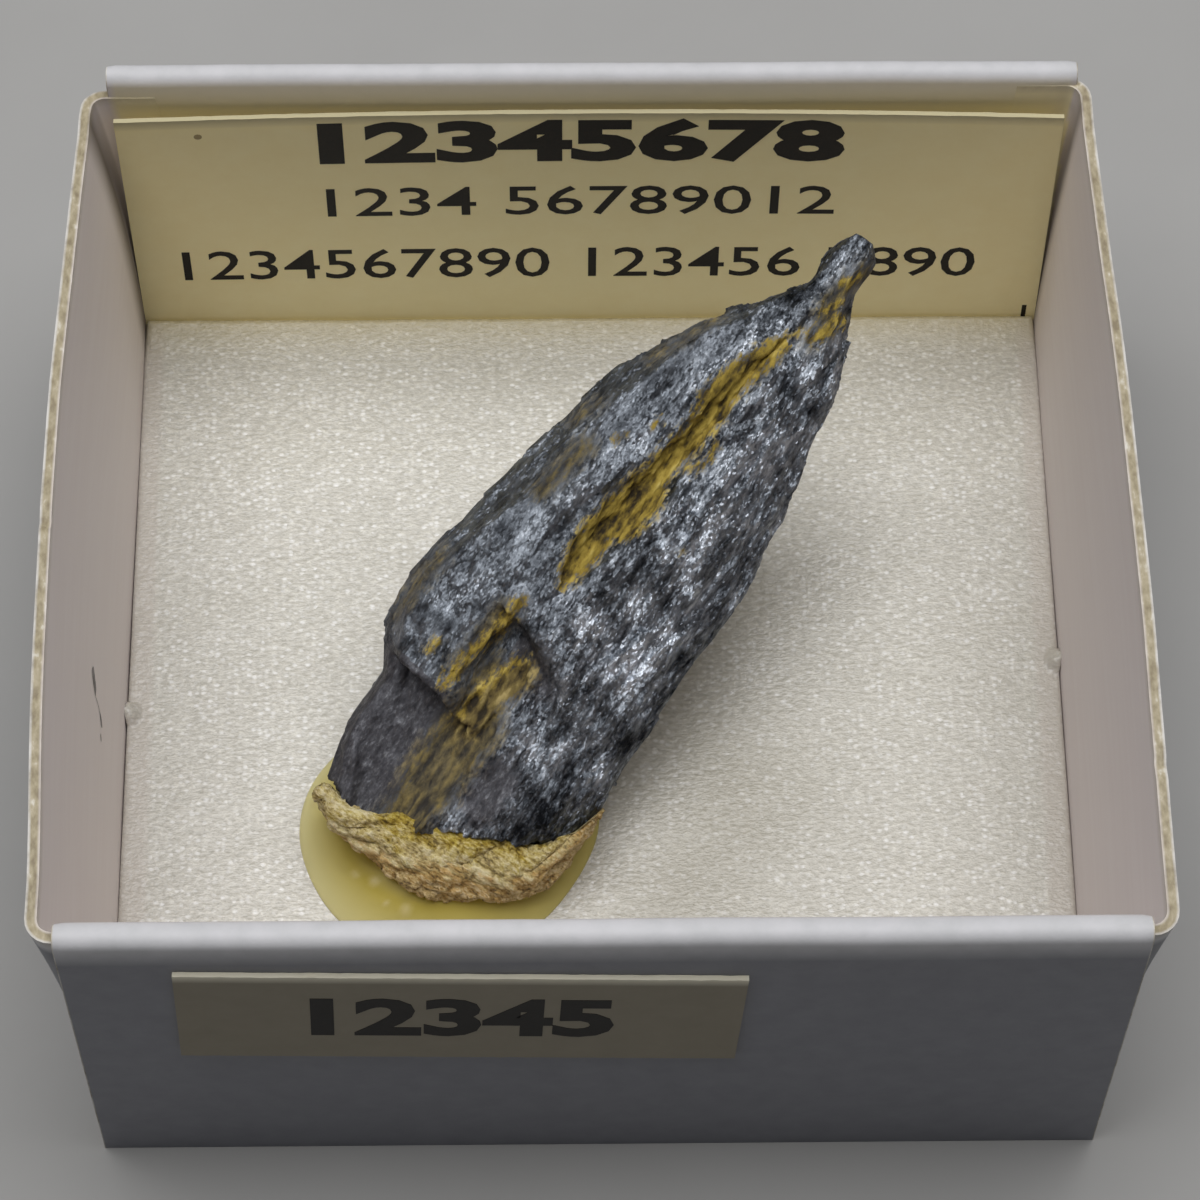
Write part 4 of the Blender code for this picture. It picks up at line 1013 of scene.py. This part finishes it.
# How high the stibnite's face stands at its lower end, from right to left: the rock closes up to it
END_LEFTS = np.linspace(-3.2, 6.0, 24)
end_points = points[(at_end > 0.2) & (normals[:, 2] > 0.3)]
end_heights = [np.mean(end_points[np.abs(end_points[:, 1] - at) < 0.4][:, 2]) for at in END_LEFTS]

stibnite = add_mesh("stibnite_lump", points @ TO_BOX.T + SPECIMEN_BASE, faces, stibnite_material)
for name, values in (("grain", points), ("ochre", ochre), ("earth", earth), ("tan", tan), ("dull_and_shaded", dull_and_shaded),
                     ("painted_sheen", painted_sheen_at(points)), ("crumbs", crumbs), ("scratched", scratched)):
    set_values(stibnite.data, name, values)
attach(stibnite, "root")
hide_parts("stibnite")


# ---- Matrix rock ----------------------------------------------------------------------------------------
# The crumbly, layered cream rock that the crystal grew on, left as a crust on its broken end. It is
# yellowest beside the stibnite, paler in the middle and stained orange brown at the bottom.

MATRIX_VOXEL = 0.08
ROCK_SWELL = 0.16                    # it stands out past the plain solid, and closes up to the stibnite
TONGUE_REACH = 2.1                   # it climbs this far up the crystal's right edge
points, normals, faces = fine_copy("matrix", MATRIX_VOXEL)
layers = lumps_at(points, (0.32, 1.1, 0.4))
lumps = lumps_at(points, (0.28, 0.4, 0.28), 0.8, 4)
pits = flakes(points, 21, (0.30, 0.50, 0.30), 0.06, 0.09)
below_crystal = np.interp(points[:, 1], *zip(*BASE_EDGE)) - points[:, 0]
climbing = ramp(below_crystal, 1.1, 0.0) ** 0.6
points = points + normals * (0.07 * layers + 0.05 * lumps + pits + ROCK_SWELL)[:, None]
points[:, 0] += climbing * np.interp(points[:, 1], (-1.0, 0.5, 3.0, 4.0), (0.75, 0.45, 0.25, 0.0))
points[:, 0] -= 0.7 * ramp(points[:, 1], 3.2, 4.8) * ramp(below_crystal, 2.25, 0.75)
tongue = ramp(points[:, 1], -2.7, -3.4) * ramp(points[:, 0], 0.3, 1.6)
room_above = np.interp(points[:, 1], *zip(*BASE_EDGE)) + 0.15 - points[:, 0]
points[:, 0] += np.clip(TONGUE_REACH * tongue, 0.0, np.maximum(room_above, 0.0))
rise = np.interp(points[:, 1], END_LEFTS, end_heights) + 0.05 + 0.22 * layers - points[:, 2]
points[:, 2] += climbing * np.where(points[:, 2] > UPPER_SIDE, np.clip(rise, 0.0, 2.0), 0.0)

# Crumbly rock: matt and granular, with cream grains, yellow and orange stains and dark pits between them.
rock_material = new_material("cream_layered_rock")
place = node("Attribute", attribute_name="grain", give="Vector")
depth = node("Attribute", attribute_name="from_crystal", give="Fac")
hollow_shade = node("Attribute", attribute_name="crumbs", give="Fac")
layered = clouds(place, (0.30, 0.95, 0.4), 6.0, 0.7)
grains = clouds(place, (0.13, 0.26, 0.15), 4.0, 0.65)
zone = node("Math MULTIPLY_ADD", node("Math SUBTRACT", layered, 0.5), 1.5, depth)
zone = node("Math MULTIPLY_ADD", node("Math SUBTRACT", grains, 0.5), 0.5, zone)
zone_tone = node("ValToRGB", zone, stops=((0.0, "#a8912f"), (0.16, "#c9b352"), (0.34, "#e0d194"),
                                          (0.56, "#e8dcb4"), (0.74, "#dcc592"), (0.86, "#c9a568"),
                                          (1.0, "#ddc79a")))
# Partly painted shade: the grains go a little darker where the layers sink
grain_tone = node("ValToRGB", node("Math MULTIPLY_ADD", hollow_shade, 0.16, grains),
                  stops=((0.30, "#5b4a26"), (0.40, "#b1a274"), (0.50, "#dcd4b8"), (0.64, "#ffffff")))
tone = node("Mix", 0.85, zone_tone, grain_tone, blend_type="MULTIPLY", data_type="RGBA")
grit = node("Bump", Height=grains, Strength=1.0, Distance=0.2 * MM)
fill(shader, {"Base Color": tone, "Roughness": 0.9, "Normal": grit})

matrix = add_mesh("matrix_crust", points @ TO_BOX.T + SPECIMEN_BASE, faces, rock_material)
set_values(matrix.data, "grain", points)
set_values(matrix.data, "crumbs", layers)
no_yellow = 0.45 * ramp(points[:, 1], 2.6, 4.1)          # there is none at the left
from_crystal = np.maximum(below_crystal / 2.5 + 0.06 - 0.12 * points[:, 2], no_yellow)
set_values(matrix.data, "from_crystal", np.clip(from_crystal, 0.0, 1.0))
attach(matrix, "root")
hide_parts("matrix")


# ---- Glue -----------------------------------------------------------------------------------------------
# A dab of hot-melt glue, pressed flat on the foam under the specimen. It is cloudy and yellow, pale where
# it is thin at the left, deeper under the rock, with a few air bubbles.

GLUE_CENTRE = (-6.0, -7.3)
GLUE_RADIUS = 6.15
GLUE_HEIGHT = 1.9
GLUE_FOOT = FOAM_TOP - 0.35
GLUE_SHOULDER = (2.4, 0.8)           # the dome's profile: flat over the middle, thin at the rim

# Air bubbles just under its skin: X, Y and radius
BUBBLES = ((-11.6, -6.1, 0.28), (-9.9, -9.6, 0.22), (-9.1, -10.0, 0.30), (-7.8, -11.2, 0.34),
           (-8.6, -10.9, 0.18))
BUBBLE_RISE = 0.06

segments = 160
rings = [math.sin(math.pi / 2 * i / 60) for i in range(60, 0, -1)]
points, bubbly, thinned = [], [], []
for reach in [1.0] + rings:
    for step in range(segments):
        angle = 2 * math.pi * step / segments
        wander = 1.0 + 0.025 * math.sin(2 * angle + 0.6) + 0.015 * math.sin(5 * angle)
        wander -= 0.05 * max(0.0, math.cos(angle + 0.45)) ** 4 + 0.12 * max(0.0, -math.sin(angle)) ** 1.5
        x = GLUE_CENTRE[0] + GLUE_RADIUS * reach * wander * math.cos(angle)
        y = GLUE_CENTRE[1] + GLUE_RADIUS * reach * wander * math.sin(angle)
        height = GLUE_HEIGHT * (1.0 - reach ** GLUE_SHOULDER[0]) ** GLUE_SHOULDER[1]
        height += 0.05 * noise.noise(Vector((x / 1.6, y / 1.6, 0.0))) * (1.0 - reach)
        bubble = max(1.0 - math.hypot(x - at_x, y - at_y) / radius for at_x, at_y, radius in BUBBLES)
        bubble = max(0.0, bubble)
        height += BUBBLE_RISE * bubble
        bubbly.append(bubble)
        thinned.append(ramp(reach, 0.72, 1.0) * (0.75 - 0.40 * math.cos(angle)))
        points.append((x, y, FOAM_TOP + height if len(points) >= segments else GLUE_FOOT))
faces = grid_faces(len(rings) + 1, segments, closed=True)
faces += [list(range(segments))[::-1], list(range(len(points) - segments, len(points)))]

# Hot-melt glue: cloudy yellow wax. Some light goes through to the foam and comes back deep yellow, some is
# turned back by the cloudiness near the top.
WAX_CLOUD = 2.5                      # millimetres across
glue_material = new_material("cloudy_hot_melt_glue")
cloudy = clouds(millimetres(), WAX_CLOUD, detail=3.0)
tone = node("ValToRGB", cloudy, stops=((0.3, "#d2bd40"), (0.7, "#dfca50")))
tone = node("Mix", node("Attribute", attribute_name="thin", give="Fac"), tone, "#fff6b2", data_type="RGBA")
tone = node("Mix", node("Attribute", attribute_name="bubble", give="Fac"), tone, "#f3e29a", data_type="RGBA")
fill(shader, {"Base Color": tone, "Roughness": 0.45, "IOR": 1.48, "Specular IOR Level": 0.3,
              "Transmission Weight": 0.52})
fill(tree.nodes["Material Output"], {"Volume": node("VolumeAbsorption", "#dcd040", 430.0)})

glue = add_mesh("glue_dome", points, faces, glue_material)
set_values(glue.data, "bubble", bubbly)
set_values(glue.data, "thin", thinned)
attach(glue, "root")
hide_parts("glue_dab")
